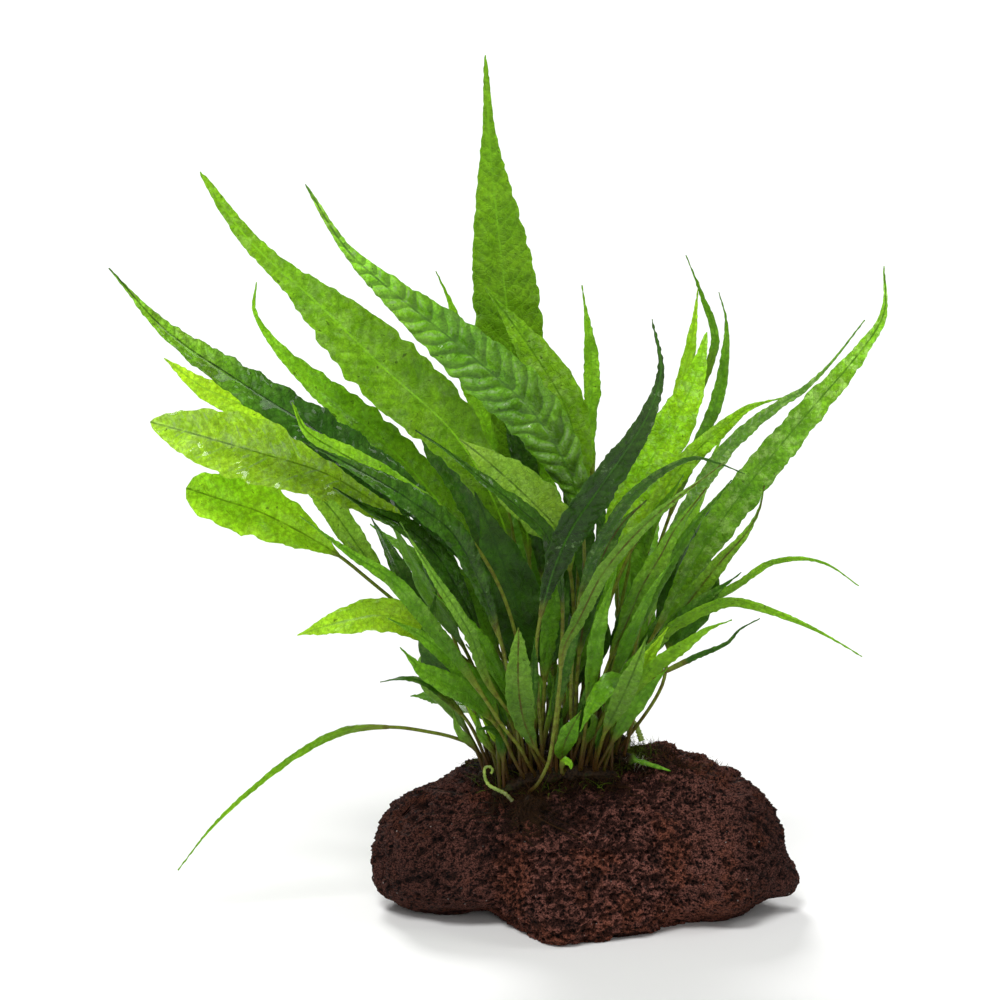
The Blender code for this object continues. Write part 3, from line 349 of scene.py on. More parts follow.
     [(-18.5, 66, 2), (-29, 90, 3), (-41, 106.5, 4), (-55, 120.5, 5), (-68, 131.5, 5.5),
      (-77, 140, 6), (-82.8, 149, 6.5), (-82.4, 156.5, 7)]),
    ("leaf_centre_3", "rhizome_back", FRONT, -12.0, "bright", 16.8, 0.24, 0.62, 2.3, 2,
     [(-13.2, 72, 4), (-16, 109.5, 5), (-18.3, 134.5, 5.5), (-20, 152, 6), (-22, 170, 6.5),
      (-24, 190, 7), (-25.2, 213.2, 7)]),
    ("leaf_centre_4", "rhizome_back", FRONT, -8.6, "deep", 6.8, 0.35, 0.66, 1.7, 22,
     [(-9.2, 64.5, 0.5), (-11.8, 92, -0.5), (-16.5, 114.5, -0.5), (-20, 127.5, 0), (-22.5, 140, 0.5)]),
    ("leaf_centre_5", "rhizome_back", FRONT, -2.0, "bright", 10.4, 0.45, 0.74, 1.6, 6,
     [(-2.2, 77, 1.5), (-1.6, 109.5, -1.5), (-5, 124.8, -2.5), (-11, 135.5, -2.5), (-18, 145.7, -2.5),
      (-25.2, 155, -2.5)]),
    ("leaf_right_12", "rhizome_back", FRONT, 2.6, "bright", 12.4, 0.30, 0.64, 1.2, 12,
     [(4.9, 77, 1.5), (9.7, 97, 1), (16, 111.5, 1), (20.4, 118.5, 1), (27, 132, 1), (30.2, 144, 1)]),
    ("leaf_right_13", "rhizome_back", FRONT, 8.4, "bright", 2.8, 0.25, 0.50, 1.5, 35,
     [(13.6, 58.5, 1), (20.8, 70.2, 1), (28.5, 75.8, 1), (38, 81, 1), (45.5, 86, 1), (53.5, 87.4, 1),
      (60.5, 85.8, 1), (68.2, 80.5, 1)]),
    # Leaves behind them, that show above or between the others
    ("leaf_left_17", "rhizome_back", BACK, -13.6, "bright", 5.6, 0.50, 0.76, 2.0, 15,
     [(-14.8, 64.5, 9), (-18, 92, 12), (-23.8, 117, 14), (-29, 132, 15), (-33.5, 150, 15),
      (-37.5, 159.2, 15)]),
    ("leaf_right_14", "rhizome_back", BACK, 0.4, "bright", 4.7, 0.50, 0.78, 1.9, 25,
     [(1, 77, 9), (1.6, 107, 10), (0.8, 119.5, 10), (1.4, 131, 10), (0.8, 142, 10), (-1, 155.7, 10)]),
    ("leaf_right_15", "rhizome_back", BACK, 3.4, "glow", 3.9, 0.50, 0.78, 1.7, 20,
     [(6.5, 64.5, 9), (12.5, 92, 11), (21, 119.5, 12), (26, 140, 13), (27.4, 149.5, 13),
      (28.2, 156.5, 13)]),
    ("leaf_right_16", "rhizome_back", BACK, 6.8, "green", 3.8, 0.40, 0.74, 1.9, 22,
     [(9.5, 62, 8), (17, 87, 9), (26.2, 112, 10), (32.2, 125.5, 10), (34.6, 137, 10), (35, 147, 10),
      (33.2, 154, 10)]),
    # Leaves that lean back, on the side that the front view hides
    ("leaf_back_1", "rhizome_rear", FRONT, -18.0, "green", 8.6, 0.30, 0.66, 1.7, 55,
     [(-20, 54, 12.3), (-32, 72, 18.6), (-44, 88, 23.2), (-54, 96, 27.8)]),
    ("leaf_back_2", "rhizome_rear", FRONT, -13.5, "deep", 10.4, 0.28, 0.62, 1.9, -35,
     [(-16.5, 62, 12.2), (-26, 92, 14.6), (-38, 116, 21.4), (-49, 131, 27.6)]),
    ("leaf_back_3", "rhizome_rear", FRONT, -6.5, "bright", 11.0, 0.26, 0.60, 2.0, 35,
     [(-8, 66, 12.5), (-12, 100, 13.9), (-17.5, 132, 20), (-21, 158, 27.6)]),
    ("leaf_back_4", "rhizome_rear", BACK, -10.0, "green", 9.6, 0.28, 0.60, 1.8, -15,
     [(-11, 58, 18.5), (-14, 86, 23.5), (-18, 110, 31.4), (-20, 120, 40)]),
    ("leaf_back_5", "rhizome_rear", FRONT, 1.0, "deep", 9.4, 0.28, 0.62, 1.8, -45,
     [(1.5, 64, 12), (0, 92, 15.3), (-3, 116, 22), (-7, 128, 28.9)]),
    ("leaf_back_6", "rhizome_rear", BACK, 4.0, "green", 9.8, 0.28, 0.60, 1.8, 20,
     [(6, 56, 18.8), (11, 80, 23.9), (16, 98, 29.9), (19, 104, 37.6)]),
    ("leaf_back_7", "rhizome_rear", FRONT, 8.0, "bright", 8.8, 0.30, 0.62, 1.9, 48,
     [(11, 58, 11.9), (19, 82, 15.1), (28, 104, 19.5), (34, 118, 25)]),
    ("leaf_back_8", "rhizome_rear", BACK, -16.0, "green", 7.6, 0.25, 0.60, 1.6, 40,
     [(-20.5, 44.5, 22), (-28.5, 50, 30), (-36.5, 53, 38), (-43.8, 53, 46)]),
]

# Small leaves and strands between the others, laid out in the same way
SMALL_LEAVES = [
    ("strand_right_top", "rhizome_back", BACK, 5.2, "green", 2.4, 0.55, 0.80, 1.6, 20,
     [(9, 66, 9.5), (17.5, 96, 12), (28, 128, 13), (32.2, 142, 13), (29, 153, 13), (25, 163.2, 13)]),
    ("thin_right", "rhizome_middle", FRONT, 9.8, "deep", 1.8, 0.30, 0.60, 1.4, 30,
     [(13.2, 51, -9.4), (17.5, 58, -10.4), (20.8, 59.6, -11), (27.3, 62.8, -11.6), (35.3, 66.3, -12),
      (38.3, 69.5, -12), (43.5, 72.4, -12)]),
    ("thin_left", "rhizome_middle", FRONT, -24.2, "deep", 2.4, 0.25, 0.60, 1.4, 30,
     [(-29.5, 46.5, -7), (-38.8, 55.5, -8.5), (-45, 57.4, -9), (-51.5, 56.5, -9)]),
    ("short_left", "rhizome_middle", FRONT, -20.8, "green", 2.8, 0.25, 0.62, 1.4, 25,
     [(-24.5, 48, -10), (-28, 50.4, -11), (-32, 51, -11.6)]),
    ("dark_left", "rhizome_front", FRONT, -20.5, "deep", 3.4, 0.25, 0.62, 1.2, 20,
     [(-21.4, 43, -15.5), (-23.6, 44.8, -16.5), (-26.8, 44.8, -17.4)]),
    ("pale_stalk_1", "rhizome_front", BACK, -21.4, "glow", 1.3, 0.30, 0.60, 1.2, 0,
     [(-24, 40.5, -12), (-27, 46, -12.6), (-31.5, 53.3, -13.4)]),
    ("pale_stalk_2", "rhizome_front", FRONT, -21.6, "glow", 1.2, 0.30, 0.60, 1.2, 0,
     [(-22.3, 41, -14.6), (-24, 44, -15.2), (-26.5, 48.3, -15.8)]),
    ("bright_centre", "rhizome_back", BACK, -5.4, "bright", 4.2, 0.50, 0.78, 1.4, 20,
     [(-5.2, 70, 7.5), (-6.6, 94, 7), (-9.6, 106, 6), (-12, 112, 6), (-15.2, 118.2, 6)]),
    ("dark_centre", "rhizome_back", FRONT, 0.6, "deep", 6.4, 0.40, 0.74, 1.2, 15,
     [(1, 70, 0.5), (-1, 92, -1), (-4, 104, -2), (-8, 112.5, -2.4)]),
    ("glowing_right", "rhizome_front", FRONT, 4.6, "glow", 3.8, 0.30, 0.64, 1.2, 15,
     [(9.6, 50, -14.5), (15.2, 62, -17), (18, 66.4, -17.6), (20.5, 70.2, -18)]),
    ("filler_1", "rhizome_middle", FRONT, -11.2, "green", 4.6, 0.28, 0.62, 1.6, 18,
     [(-10.6, 52, -11.5), (-9.6, 66, -13.5), (-7.6, 80, -15), (-4.6, 92, -16)]),
    ("filler_2", "rhizome_front", FRONT, -7.4, "deep", 3.8, 0.25, 0.60, 1.6, 25,
     [(-7.2, 46, -19), (-6.2, 56, -20.5), (-3.4, 68, -21.5), (0.4, 80, -22)]),
    ("filler_3", "rhizome_front", FRONT, -1.6, "green", 4.4, 0.25, 0.62, 1.6, 20,
     [(0, 46, -18), (1.4, 58, -19.6), (3.2, 70, -20.5), (7.4, 84, -21)]),
    ("filler_4", "rhizome_front", BACK, 2.4, "green", 3.8, 0.28, 0.60, 1.6, 30,
     [(5.4, 53, -13), (11, 68, -15.4), (16.8, 80, -16.6), (22.4, 88, -17)]),
    ("filler_5", "rhizome_middle", BACK, -8.8, "deep", 5.4, 0.30, 0.64, 1.6, 10,
     [(-8.4, 58, -4), (-7.2, 78, -4.6), (-9, 96, -5.6), (-12.4, 108, -6.2)]),
    ("filler_6", "rhizome_middle", BACK, -17.6, "green", 4.8, 0.30, 0.62, 1.6, 28,
     [(-19.8, 54, -4.4), (-26.4, 72, -6.4), (-34.4, 86, -7.6), (-44.4, 95, -8.4)]),
    ("filler_7", "rhizome_front", BACK, -14.8, "green", 4.4, 0.26, 0.60, 1.6, 26,
     [(-17.4, 48, -13.6), (-22.6, 60, -15.6), (-29.4, 70.6, -17.2), (-38.4, 79, -18.2)]),
    ("filler_8", "rhizome_back", FRONT, 5.4, "green", 4.2, 0.28, 0.60, 1.6, 30,
     [(9, 60, 1.6), (17.4, 80, 1.6), (26.4, 95, 1.4), (36.4, 107, 1.2)]),
    ("new_leaf", "rhizome_front", FRONT, -5.2, "bright", 2.1, 0.50, 0.78, 0.8, 10,
     [(-5.9, 33.4, -20.4), (-6.1, 35.2, -21), (-5.4, 36.8, -21.4), (-4.1, 36.4, -21.6),
      (-3.7, 34.8, -21.6)]),
]

# How some leaves differ: midrib (0 pale, 0.5 dark green, 1 brown), height of the pads between the side
# veins and how far apart those are, brightness, how yellow they look and how much painted sheen lies on
# them, how pale their veins are, how far the margins ruffle, how much lighter the tip is, how blunt it is,
# and whether the blade is wet all over. A blade may also be widest elsewhere than its solid, or be less
# slender.
PLAIN_LOOK = {
    "rib": 0.25,
    "pads": 0.22,
    "spacing": 1.0,
    "tint": 0.0,
    "warm": 0.2,
    "painted_sheen": 0.25,
    "veins": 0.5,
    "ruffle": 0.35,
    "tip": 0.15,
    "blunt": TIP_FULLNESS,
    "wet": False,
}
LOOKS = {
    "leaf_front_1": {"rib": 0.9, "pads": 0.06, "tint": -0.1, "painted_sheen": 0.4},
    "leaf_front_2": {"rib": 0.3, "pads": 0.1, "tint": 0.05, "painted_sheen": 0.4},
    "leaf_front_3": {"rib": 0.4, "pads": 0.08, "tint": 0.05},
    "leaf_front_4": {"rib": 1.0, "pads": 0.14, "tint": -0.2, "painted_sheen": 0.3},
    "leaf_front_5": {"rib": 0.8, "tint": 0.05},
    "leaf_front_6": {"rib": 0.6, "tint": -0.05, "painted_sheen": 0.5},
    "leaf_left_3": {"wet": True, "pads": 0.45, "rib": 0.5, "painted_sheen": 0.1},
    "leaf_left_4": {"rib": 0.5, "pads": 0.25, "tint": 0.1, "blunt": 0.5},
    "leaf_right_1": {"wet": True, "rib": 0.15, "pads": 0.35, "tint": -0.4, "painted_sheen": 0.0},
    "leaf_left_5": {"wet": True, "rib": 0.5, "tint": -0.1, "painted_sheen": 0.1},
    "leaf_left_6": {"wet": True, "pads": 0.35, "rib": 0.5, "painted_sheen": 0.1},
    "leaf_left_7": {
        "wet": True, "pads": 0.4, "rib": 0.5, "painted_sheen": 0.1, "ruffle": 0.5, "tip": 3.0, "warm": 0.0,
    },
    "leaf_centre_1": {"rib": 0.35, "pads": 0.25, "tint": -0.3, "painted_sheen": 0.0},
    "leaf_centre_4": {"wet": True, "pads": 0.5},
    "leaf_right_2": {"wet": True, "pads": 0.3},
    "leaf_centre_2": {"rib": 0.6, "pads": 0.05, "warm": 0.5, "painted_sheen": 0.35, "ruffle": 0.2},
    "leaf_right_5": {"rib": 1.0, "tint": 0.1},
    "leaf_right_6": {"rib": 1.0, "tint": 0.15, "warm": 0.4},
    "leaf_right_7": {"rib": 0.9, "warm": 0.4},
    "leaf_left_9": {"rib": 0.3, "pads": 0.16, "warm": 0.4},
    "leaf_left_10": {"rib": 0.5, "warm": 0.3, "tint": 0.1, "slender": 0.42, "peak": 0.86, "ruffle": 0.1},
    "leaf_left_11": {
        "wet": True, "rib": 0.5, "pads": 0.35, "painted_sheen": 0.9, "slender": 0.7, "peak": 0.8, "ruffle": 0.1,
    },
    "leaf_left_12": {
        "rib": 0.0, "pads": 0.35, "tint": -0.08, "painted_sheen": 0.7, "ruffle": 0.15, "slender": 4.0, "blunt": 0.44,
    },
    "leaf_left_13": {
        "wet": True, "rib": 0.35, "pads": 1.5, "spacing": 1.25, "painted_sheen": 0.2, "tip": 0.9, "ruffle": 0.15,
        "tint": 0.1,
    },
    "leaf_right_9": {"warm": 0.5, "painted_sheen": 0.6, "tint": 0.3},
    "leaf_right_10": {"painted_sheen": 0.9, "tint": 0.15, "wet": True},
    "leaf_right_11": {"rib": 0.3, "pads": 0.3, "tint": 0.5, "warm": 0.3, "painted_sheen": 1.0, "tip": 0.8},
    "leaf_left_14": {"rib": 0.4, "pads": 0.08, "tint": 0.15, "warm": 0.6},
    "leaf_left_15": {"warm": 0.8, "slender": 1.0},
    "leaf_left_16": {"rib": 0.1, "pads": 0.3, "ruffle": 0.5, "tip": 0.4},
    "leaf_centre_3": {"rib": 0.2, "pads": 0.45, "tint": -0.32, "veins": 0.8, "painted_sheen": 0.1, "ruffle": 0.25},
    "leaf_centre_5": {"rib": 0.4, "painted_sheen": 0.9, "tint": -0.15},
    "leaf_right_12": {"rib": 0.1, "warm": 0.5, "painted_sheen": 1.0, "tint": 0.45, "blunt": 0.5},
    "leaf_right_15": {"painted_sheen": 0.7, "warm": 0.4},
}

# Leaves that fill the bush, in batches: how many, heights, widths, where the blade starts, rhizomes and
# tones. Then how far they sway for each millimetre of height, their largest roll in degrees, where they
# are widest and how slender their tips are.
INNER_LEAVES = [
    (
        32, (34.0, 74.0), (4.0, 8.0), 0.24,
        ("rhizome_middle", "rhizome_back", "rhizome_rear"), ("deep", "green", "deep"),
    ),
    (
        36, (12.0, 40.0), (2.2, 5.4), 0.14,
        ("rhizome_front", "rhizome_middle", "rhizome_back"), ("green", "deep", "matt", "bright"),
    ),
]
INNER_SWAY = 0.09
INNER_ROLL = 60.0
INNER_PEAK = 0.6
INNER_SLENDER = 1.5

# How an inner leaf arches: shares of its height, and how far it bends outwards at each
INNER_ARCH = ((0.35, -0.04), (0.7, 0.05), (1.0, 0.22))

# Each inner leaf is the best of some tries, whose feet stand no further right than this. The room around
# a try counts from the others, less a share of their widths and of its own. How far from the others the
# front view shows it counts with this weight. Both are taken at a quantile of its points.
INNER_TRIES = 14
INNER_FARTHEST = 10.0
KEEP_CLEAR = 0.4
OWN_WIDTH = 0.35
ROOM_QUANTILE = 0.25
SEEN_QUANTILE = 0.6
SEEN_WEIGHT = 1.5

# The crown that inner leaves rise from, and how far the cone above it widens for each millimetre up
CROWN = {"left": -31.0, "right": 12.0, "front": -17.0, "back": 17.0, "top": 40.0}
CONE = 0.5

# Kept clear of inner leaves, so that the arched frond shows: least and most x, most y and most z
CLEARING = (8.6, 16.0, 1.0, 50.0)

# Rows of points along a leaf: steps on stalks, on blades, on wet blades and on inner leaves' blades.
# Columns on each side of a blade: the fewest, and the width that adds one more.
STALK_STEP = 2.2
BLADE_STEP = 0.8
WET_STEP = 0.5
INNER_STEP = 1.3
BLADE_COLUMNS = (3.0, 2.4)

# Stalks: radius, and how far the foot reaches towards the rhizome's middle. Blades: thickness, fold along
# the midrib, how much wider than the stalk they are where they lie flat, and the midrib's height and width.
STALK_RADIUS = 0.46
FOOT_REACH = 1.4
BLADE_THICKNESS = 0.32
BLADE_FOLD = 0.2
BLADE_BEGINS = 0.9
RIB_HEIGHT = 0.16
RIB_WIDTH = 0.5

# Side veins: slant, bend, and spacing as (closest, more for each millimetre of the blade's width), and how
# far the margin steps out between them
VEIN_SLANT = 0.8
VEIN_BEND = 0.03
VEIN_SPACING = (1.9, 0.11)
SCALLOP = 0.22

# Waves of a blade as (height, length): its twist, wavy margins, notches, drifting veins, uneven pads and
# buckled face. Then the lengths that its ruffle beats by, and the shares where its tip turns lighter.
TWIST = (math.radians(5.0), 60.0)
MARGIN_WAVE = (0.04, 7.0)
NOTCH = (0.07, 2.3)
VEIN_DRIFT = (0.12, 9.0)
PAD_WAVE = (0.3, 12.0)
BUCKLE = (0.22, 9.0)
RUFFLE_BEAT = (8.0, 13.0)
LIGHT_TIP = (0.62, 0.96)

# Young fronds as tubes: front view routes like a leaf's, from the foot, the radius of each, the coil at
# the fiddlehead's end, and rows and sides of points
FIDDLEHEAD_ROUTE = [
    (-18.4, 26.8, -20.5),
    (-20.2, 28.6, -20.6),
    (-22.0, 29.5, -20.0),
    (-24.2, 30.7, -19.2),
    (-25.2, 32.4, -18.6),
    (-25.4, 34.4, -18.2),
]
FIDDLEHEAD_RADIUS = 0.55
COIL_RADIUS = 1.0
COIL_TURN = math.radians(230.0)
COIL_POINTS = 7
ARCH_ROUTE = [
    (10.5, 39.9, -1.0),
    (10.7, 43.2, -1.0),
    (11.1, 45.4, -1.2),
    (12.1, 46.2, -1.4),
    (13.1, 44.2, -1.8),
    (13.9, 41.8, -2.2),
]
ARCH_RADIUS = 0.6
YOUNG_ROWS = 90
YOUNG_SIDES = 12

# A thin runner on the stone, as (across, up) places of the front view: its radius at the start, height
# above the stone, and rows and sides of points
RUNNER_ROUTE = [(0.8, 38.4), (3.6, 38.0), (7.0, 38.2), (10.0, 37.2), (12.6, 36.4)]
RUNNER_RADIUS = 0.38
RUNNER_LIFT = 0.9
RUNNER_ROWS = 40
RUNNER_SIDES = 8

# Leaf colours (linear): blade in shade and in light, and how much light shines through
TONES = {
    "glow": ((0.24, 0.50, 0.010), (0.42, 0.72, 0.030), 0.40),
    "bright": ((0.12, 0.34, 0.004), (0.24, 0.54, 0.016), 0.32),
    "green": ((0.055, 0.20, 0.003), (0.12, 0.34, 0.012), 0.24),
    "deep": ((0.012, 0.062, 0.001), (0.036, 0.14, 0.003), 0.12),
    "matt": ((0.085, 0.24, 0.012), (0.16, 0.36, 0.030), 0.22),
}

# Marks on the leaves (linear): painted sheen, spots, painted highlights on wet blades and on wet deep green
# ones, brown midrib, light through the blade, and the stalk at its foot, higher up and in flecks
MARKS = {
    "painted_sheen": (0.34, 0.52, 0.13),
    "spot": (0.02, 0.035, 0.002),
    "sheen": (0.30, 0.42, 0.20),
    "sheen on deep green": (0.22, 0.36, 0.14),
    "rib": (0.075, 0.038, 0.006),
    "through": (0.50, 0.80, 0.005),
    "foot": (0.055, 0.024, 0.005),
    "stalk": (0.18, 0.23, 0.022),
    "fleck": (0.085, 0.040, 0.007),
}

# Lava (linear): dark and light grain, the same where rusty, glints, and painted shade in pores and hollows
LAVA = {
    "dark": (0.018, 0.006, 0.005),
    "light": (0.190, 0.074, 0.056),
    "dark rust": (0.050, 0.013, 0.007),
    "light rust": (0.21, 0.064, 0.032),
    "pore_shade": (0.004, 0.002, 0.002),
    "glint": (0.55, 0.50, 0.45),
    "painted_shade": (0.005, 0.004, 0.002),
}

# Rhizomes (linear): dark and light bark, greener patches, and the growing tip's dark and light
BARK = {
    "dark": (0.003, 0.002, 0.001),
    "light": (0.022, 0.012, 0.005),
    "green": (0.020, 0.036, 0.003),
    "dark tip": (0.09, 0.25, 0.015),
    "light tip": (0.17, 0.37, 0.03),
}

# Young fronds (linear): dark and light, and the brown of the foot
YOUNG = {"dark": (0.14, 0.22, 0.02), "light": (0.26, 0.36, 0.05), "foot": (0.05, 0.05, 0.012)}

# Threads: dark and light of each kind (linear)
THREADS = {
    "root_fibre": ((0.003, 0.002, 0.001), (0.050, 0.022, 0.007)),
    "moss": ((0.020, 0.045, 0.002), (0.15, 0.23, 0.015)),
    "crest_fibre": ((0.03, 0.010, 0.004), (0.16, 0.06, 0.02)),
    "tip_hair": ((0.35, 0.36, 0.25), (0.6, 0.6, 0.5)),
}

# Roots over the stone: how many, rows of points, fall, drift, radii and height above the stone
ROOT_COUNT = 260
ROOT_ROWS = 16
ROOT_FALL = (0.05, 0.34)
ROOT_DRIFT = 0.22
ROOT_RADIUS = (0.08, 0.2)
ROOT_LIFT = 0.2

# Tufts on the top of the stone: how many, seed, kind, middle and half sizes seen from above, how far
# they lean up, length, radius, bend and rows of points
TOP_TUFTS = {
    "crown_fibres": (1700, 73, "root_fibre", (-8.0, 0.0), (19.0, 14.5), 0.6, 2.4, 0.09, 0.9, 4),
    "crown_moss": (700, 75, "moss", (-7.0, 0.0), (21.0, 15.0), 0.6, 2.6, 0.10, 0.8, 4),
    "crest_moss": (420, 82, "moss", (9.0, -2.0), (8.0, 5.0), 0.8, 1.8, 0.10, 0.8, 4),
    "crest_fibres": (500, 84, "root_fibre", (16.0, -1.0), (14.0, 7.0), 0.8, 2.0, 0.10, 0.8, 4),
    "crest_hairs": (260, 77, "crest_fibre", (24.0, 2.0), (15.0, 6.0), 1.0, 1.2, 0.10, 0.5, 5),
}

# Moss on the side of the stone: how many, seeds of places and strands, place and spread in the front
# view, and length
MOSS_PATCHES = {
    "moss_left": (380, 80, 90, (-24.0, 37.6), (6.0, 2.2), 2.0),
    "moss_right": (420, 81, 91, (8.5, 39.0), (9.0, 2.6), 2.6),
}

# Hairs of all the rhizomes, and paler ones about the growing tip
HAIR_COUNT = 2600
TIP_HAIR_COUNT = 60


def from_front(route):
    """World points that the front view shows at each (across, up), at that depth."""
    across, up, depth = np.asarray(route, float).T
    seen = VIEW_MIDDLE + np.outer(up - VIEW_MIDDLE_UP, UPWARD)
    seen[:, 0] = across
    ray = seen - EYE
    return EYE + ray * ((depth - EYE[1]) / ray[:, 1])[:, None]


def fanned(route):
    """World points of a leaf's route, its depths spread out with its heights."""
    route = np.array(route, float)
    low, high = FAN_HEIGHTS
    share = np.clip((route[:, 1] - low) / (high - low), 0.0, 1.0)
    route[:, 2] = FAN_MIDDLE + (route[:, 2] - FAN_MIDDLE) * (1.0 + FAN_SPREAD * share)
    return from_front(route)


def smooth_step(value, low, high):
    """0 below low, 1 above high, and a soft rise between them."""
    share = np.clip((value - low) / (high - low), 0.0, 1.0)
    return share * share * (3.0 - 2.0 * share)


def unit(ways):
    """The same directions, each of length one."""
    return ways / np.maximum(np.linalg.norm(ways, axis=-1, keepdims=True), 1e-9)


def waves(points, seed, length):
    """Soft random values of about -1 to 1 whose features are about this long."""
    draw = np.random.default_rng(seed)
    points = np.asarray(points, float)
    ways = unit(draw.normal(size=(WAVE_COUNT, points.shape[-1]))) * 2.0 * math.pi
    ways /= (length * draw.uniform(0.7, 1.5, WAVE_COUNT))[:, None]
    phase = draw.uniform(0.0, 2.0 * math.pi, WAVE_COUNT)
    return np.sin(points @ ways.T + phase).sum(-1) * math.sqrt(1.6 / WAVE_COUNT)


def swellings():
    """Waves that lift and lower the stone's surface: direction over length, phase and height."""
    draw = np.random.default_rng(SEEDS["swellings"])
    way = draw.normal(size=(SWELL_COUNT, 3))
    way /= np.linalg.norm(way, axis=1)[:, None]
    length = draw.uniform(*SWELL_LENGTHS, size=SWELL_COUNT)
    phase = draw.uniform(0.0, 2.0 * math.pi, size=SWELL_COUNT)
    return way * (2.0 * math.pi / length)[:, None], phase, SWELL_SIZE * length / SWELL_LENGTHS[0]


def pits():
    """Open pores large enough to see from a step away: centre, radius and depth of each."""
    draw = np.random.default_rng(SEEDS["pits"])
    turn = draw.uniform(0.0, 2.0 * math.pi, size=PIT_COUNT)
    rise = draw.uniform(*PIT_RISES, size=PIT_COUNT)
    wide, deep, tall = PIT_SHELL
    centre = np.stack(
        [
            wide * np.cos(turn) * np.cos(rise),
            deep * np.sin(turn) * np.cos(rise),
            PIT_MIDDLE + tall * np.sin(rise),
        ],
        axis=1,
    )
    return centre, draw.uniform(*PIT_RADIUS, PIT_COUNT), draw.uniform(*PIT_DEPTH, PIT_COUNT)


SWELLINGS = swellings()
PITS = pits()


def nearness(points, centre, half):
    """1 at the centre of an ellipsoid with these half sizes, and softly less around it."""
    far = np.linalg.norm((points - np.array(centre)) / np.array(half), axis=1)
    return np.exp(-(far**2))


def stone_field(points):
    """Rough distance of each point from the stone's surface, negative inside."""
    total = np.zeros(len(points))
    for centre, half in STONE_LOBES.values():
        scaled = (points - np.array(centre)) / np.array(half)
        distance = (np.linalg.norm(scaled, axis=1) - 1.0) * min(half)
        total += np.exp(-distance / LOBE_BLEND)
    field = -LOBE_BLEND * np.log(total)
    ways, phase, height = SWELLINGS
    field += (np.sin(points @ ways.T + phase) * height).sum(axis=1) / math.sqrt(SWELL_COUNT)
    centre, radius, depth = PITS
    for spot, wide, deep in zip(centre, radius, depth):
        near = np.linalg.norm(points - spot, axis=1) / wide
        field += deep * np.exp(-(near**4))
    for centre, half, deep in CREASES.values():
        field += deep * nearness(points, centre, half)
    for centre, half, high in KNOBS.values():
        field -= high * nearness(points, centre, half)
    return field


def surface_along(start, ways):
    """Distances from start, along each way, to the stone's surface."""
    near = np.zeros(len(ways))
    far = np.full(len(ways), STONE_REACH)
    for _ in range(HALVINGS):
        middle = (near + far) / 2.0
        inside = stone_field(start + ways * middle[:, None]) < 0.0
        near = np.where(inside, middle, near)
        far = np.where(inside, far, middle)
    low = stone_field(start + ways * near[:, None])
    high = stone_field(start + ways * far[:, None])
    return near + (far - near) * np.clip(-low / np.maximum(high - low, 1e-9), 0.0, 1.0)


def ways_of(turns, tilts):
    """Unit directions at these turns about the heart and tilts above level."""
    return np.stack([np.cos(turns) * np.cos(tilts), np.sin(turns) * np.cos(tilts), np.sin(tilts)], axis=-1)


def stone_above(x, y):
    """Points of the stone's top at these places seen from above."""
    low = np.stack([x, y, np.full(len(x), HEART[2])], axis=1)
    upward = np.tile((0.0, 0.0, 1.0), (len(x), 1))
    return low + upward * surface_along(low, upward)[:, None]


def stone_top(x, y, around):
    """Height of the stone's highest point within a square of that half width about (x, y)."""
    steps = (-around, 0.0, around)
    places = np.array([(x + dx, y + dy) for dx in steps for dy in steps])
    return float(stone_above(*places.T)[:, 2].max())


def stone_normals(points):
    """Outward directions of the stone's surface at points on it."""
    steps = NORMAL_STEP * np.eye(3)
    sides = [stone_field(points + step) - stone_field(points - step) for step in steps]
    return unit(np.stack(sides, axis=1))


def stone_at(across, up):
    """Points of the stone that the front view shows at these places."""
    across, up = np.broadcast_arrays(np.atleast_1d(across).astype(float), up)
    depth = np.full(len(across), -STONE_SIDE)
    for step in SEARCH_STEPS:
        for _ in range(SEARCH_COUNT):
            outside = stone_field(from_front(np.stack([across, up, depth], 1))) > 0.0
            depth = np.where(outside & (depth < STONE_SIDE), depth + step, depth)
        depth -= step
    return from_front(np.stack([across, up, depth], 1))


def rim_angles(turns):
    """For each turn about the heart, the angle down to where the surface meets the sole."""
    low = np.full(len(turns), RIM_LOWEST)
    high = np.zeros(len(turns))
    for _ in range(RIM_HALVINGS):
        tilt = (low + high) / 2.0
        ways = ways_of(turns, tilt)
        above = HEART[2] + surface_along(HEART, ways) * ways[:, 2] > 0.0
        low = np.where(above, low, tilt)
        high = np.where(above, tilt, high)
    return high


def piece(name, corners, faces, material, nodes, values):
    """A finished piece from corners in millimetres: it rides on the body and stands for these nodes."""
    mesh = bpy.data.meshes.new(name)
    mesh.from_pydata((np.asarray(corners) * MM).tolist(), [], faces)
    mesh.materials.append(material)
    mesh.shade_smooth()
    mesh.set_sharp_from_angle(angle=SHARP_EDGE)
    for key, value in values.items():
        value = np.asarray(value, np.float32)
        vectors = value.shape == (len(corners), 3)
        layer = mesh.attributes.new(key, "FLOAT_VECTOR" if vectors else "FLOAT", "POINT")
        layer.data.foreach_set("vector" if vectors else "value", value.ravel())
    thing = bpy.data.objects.new(name, mesh)
    bpy.context.scene.collection.objects.link(thing)
    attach(thing, BODY)
    if nodes:
        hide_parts(*nodes)


def between_rings(low, sides):
    """Faces between the ring of corners that begins with this one and the next ring."""
    ring = low + np.arange(sides)
    after = low + (np.arange(sides) + 1) % sides
    return np.stack([ring, after, after + sides, ring + sides], axis=1).tolist()


def tube_faces(rows, sides, start=0):
    """Faces of a closed tube of rings, one after another, with a flat cap at each end."""
    ring = np.arange(sides)
    faces = []
    for row in range(rows - 1):
        faces.extend(between_rings(start + row * sides, sides))
    faces.append((start + ring[::-1]).tolist())
    faces.append((start + (rows - 1) * sides + ring).tolist())
    return faces


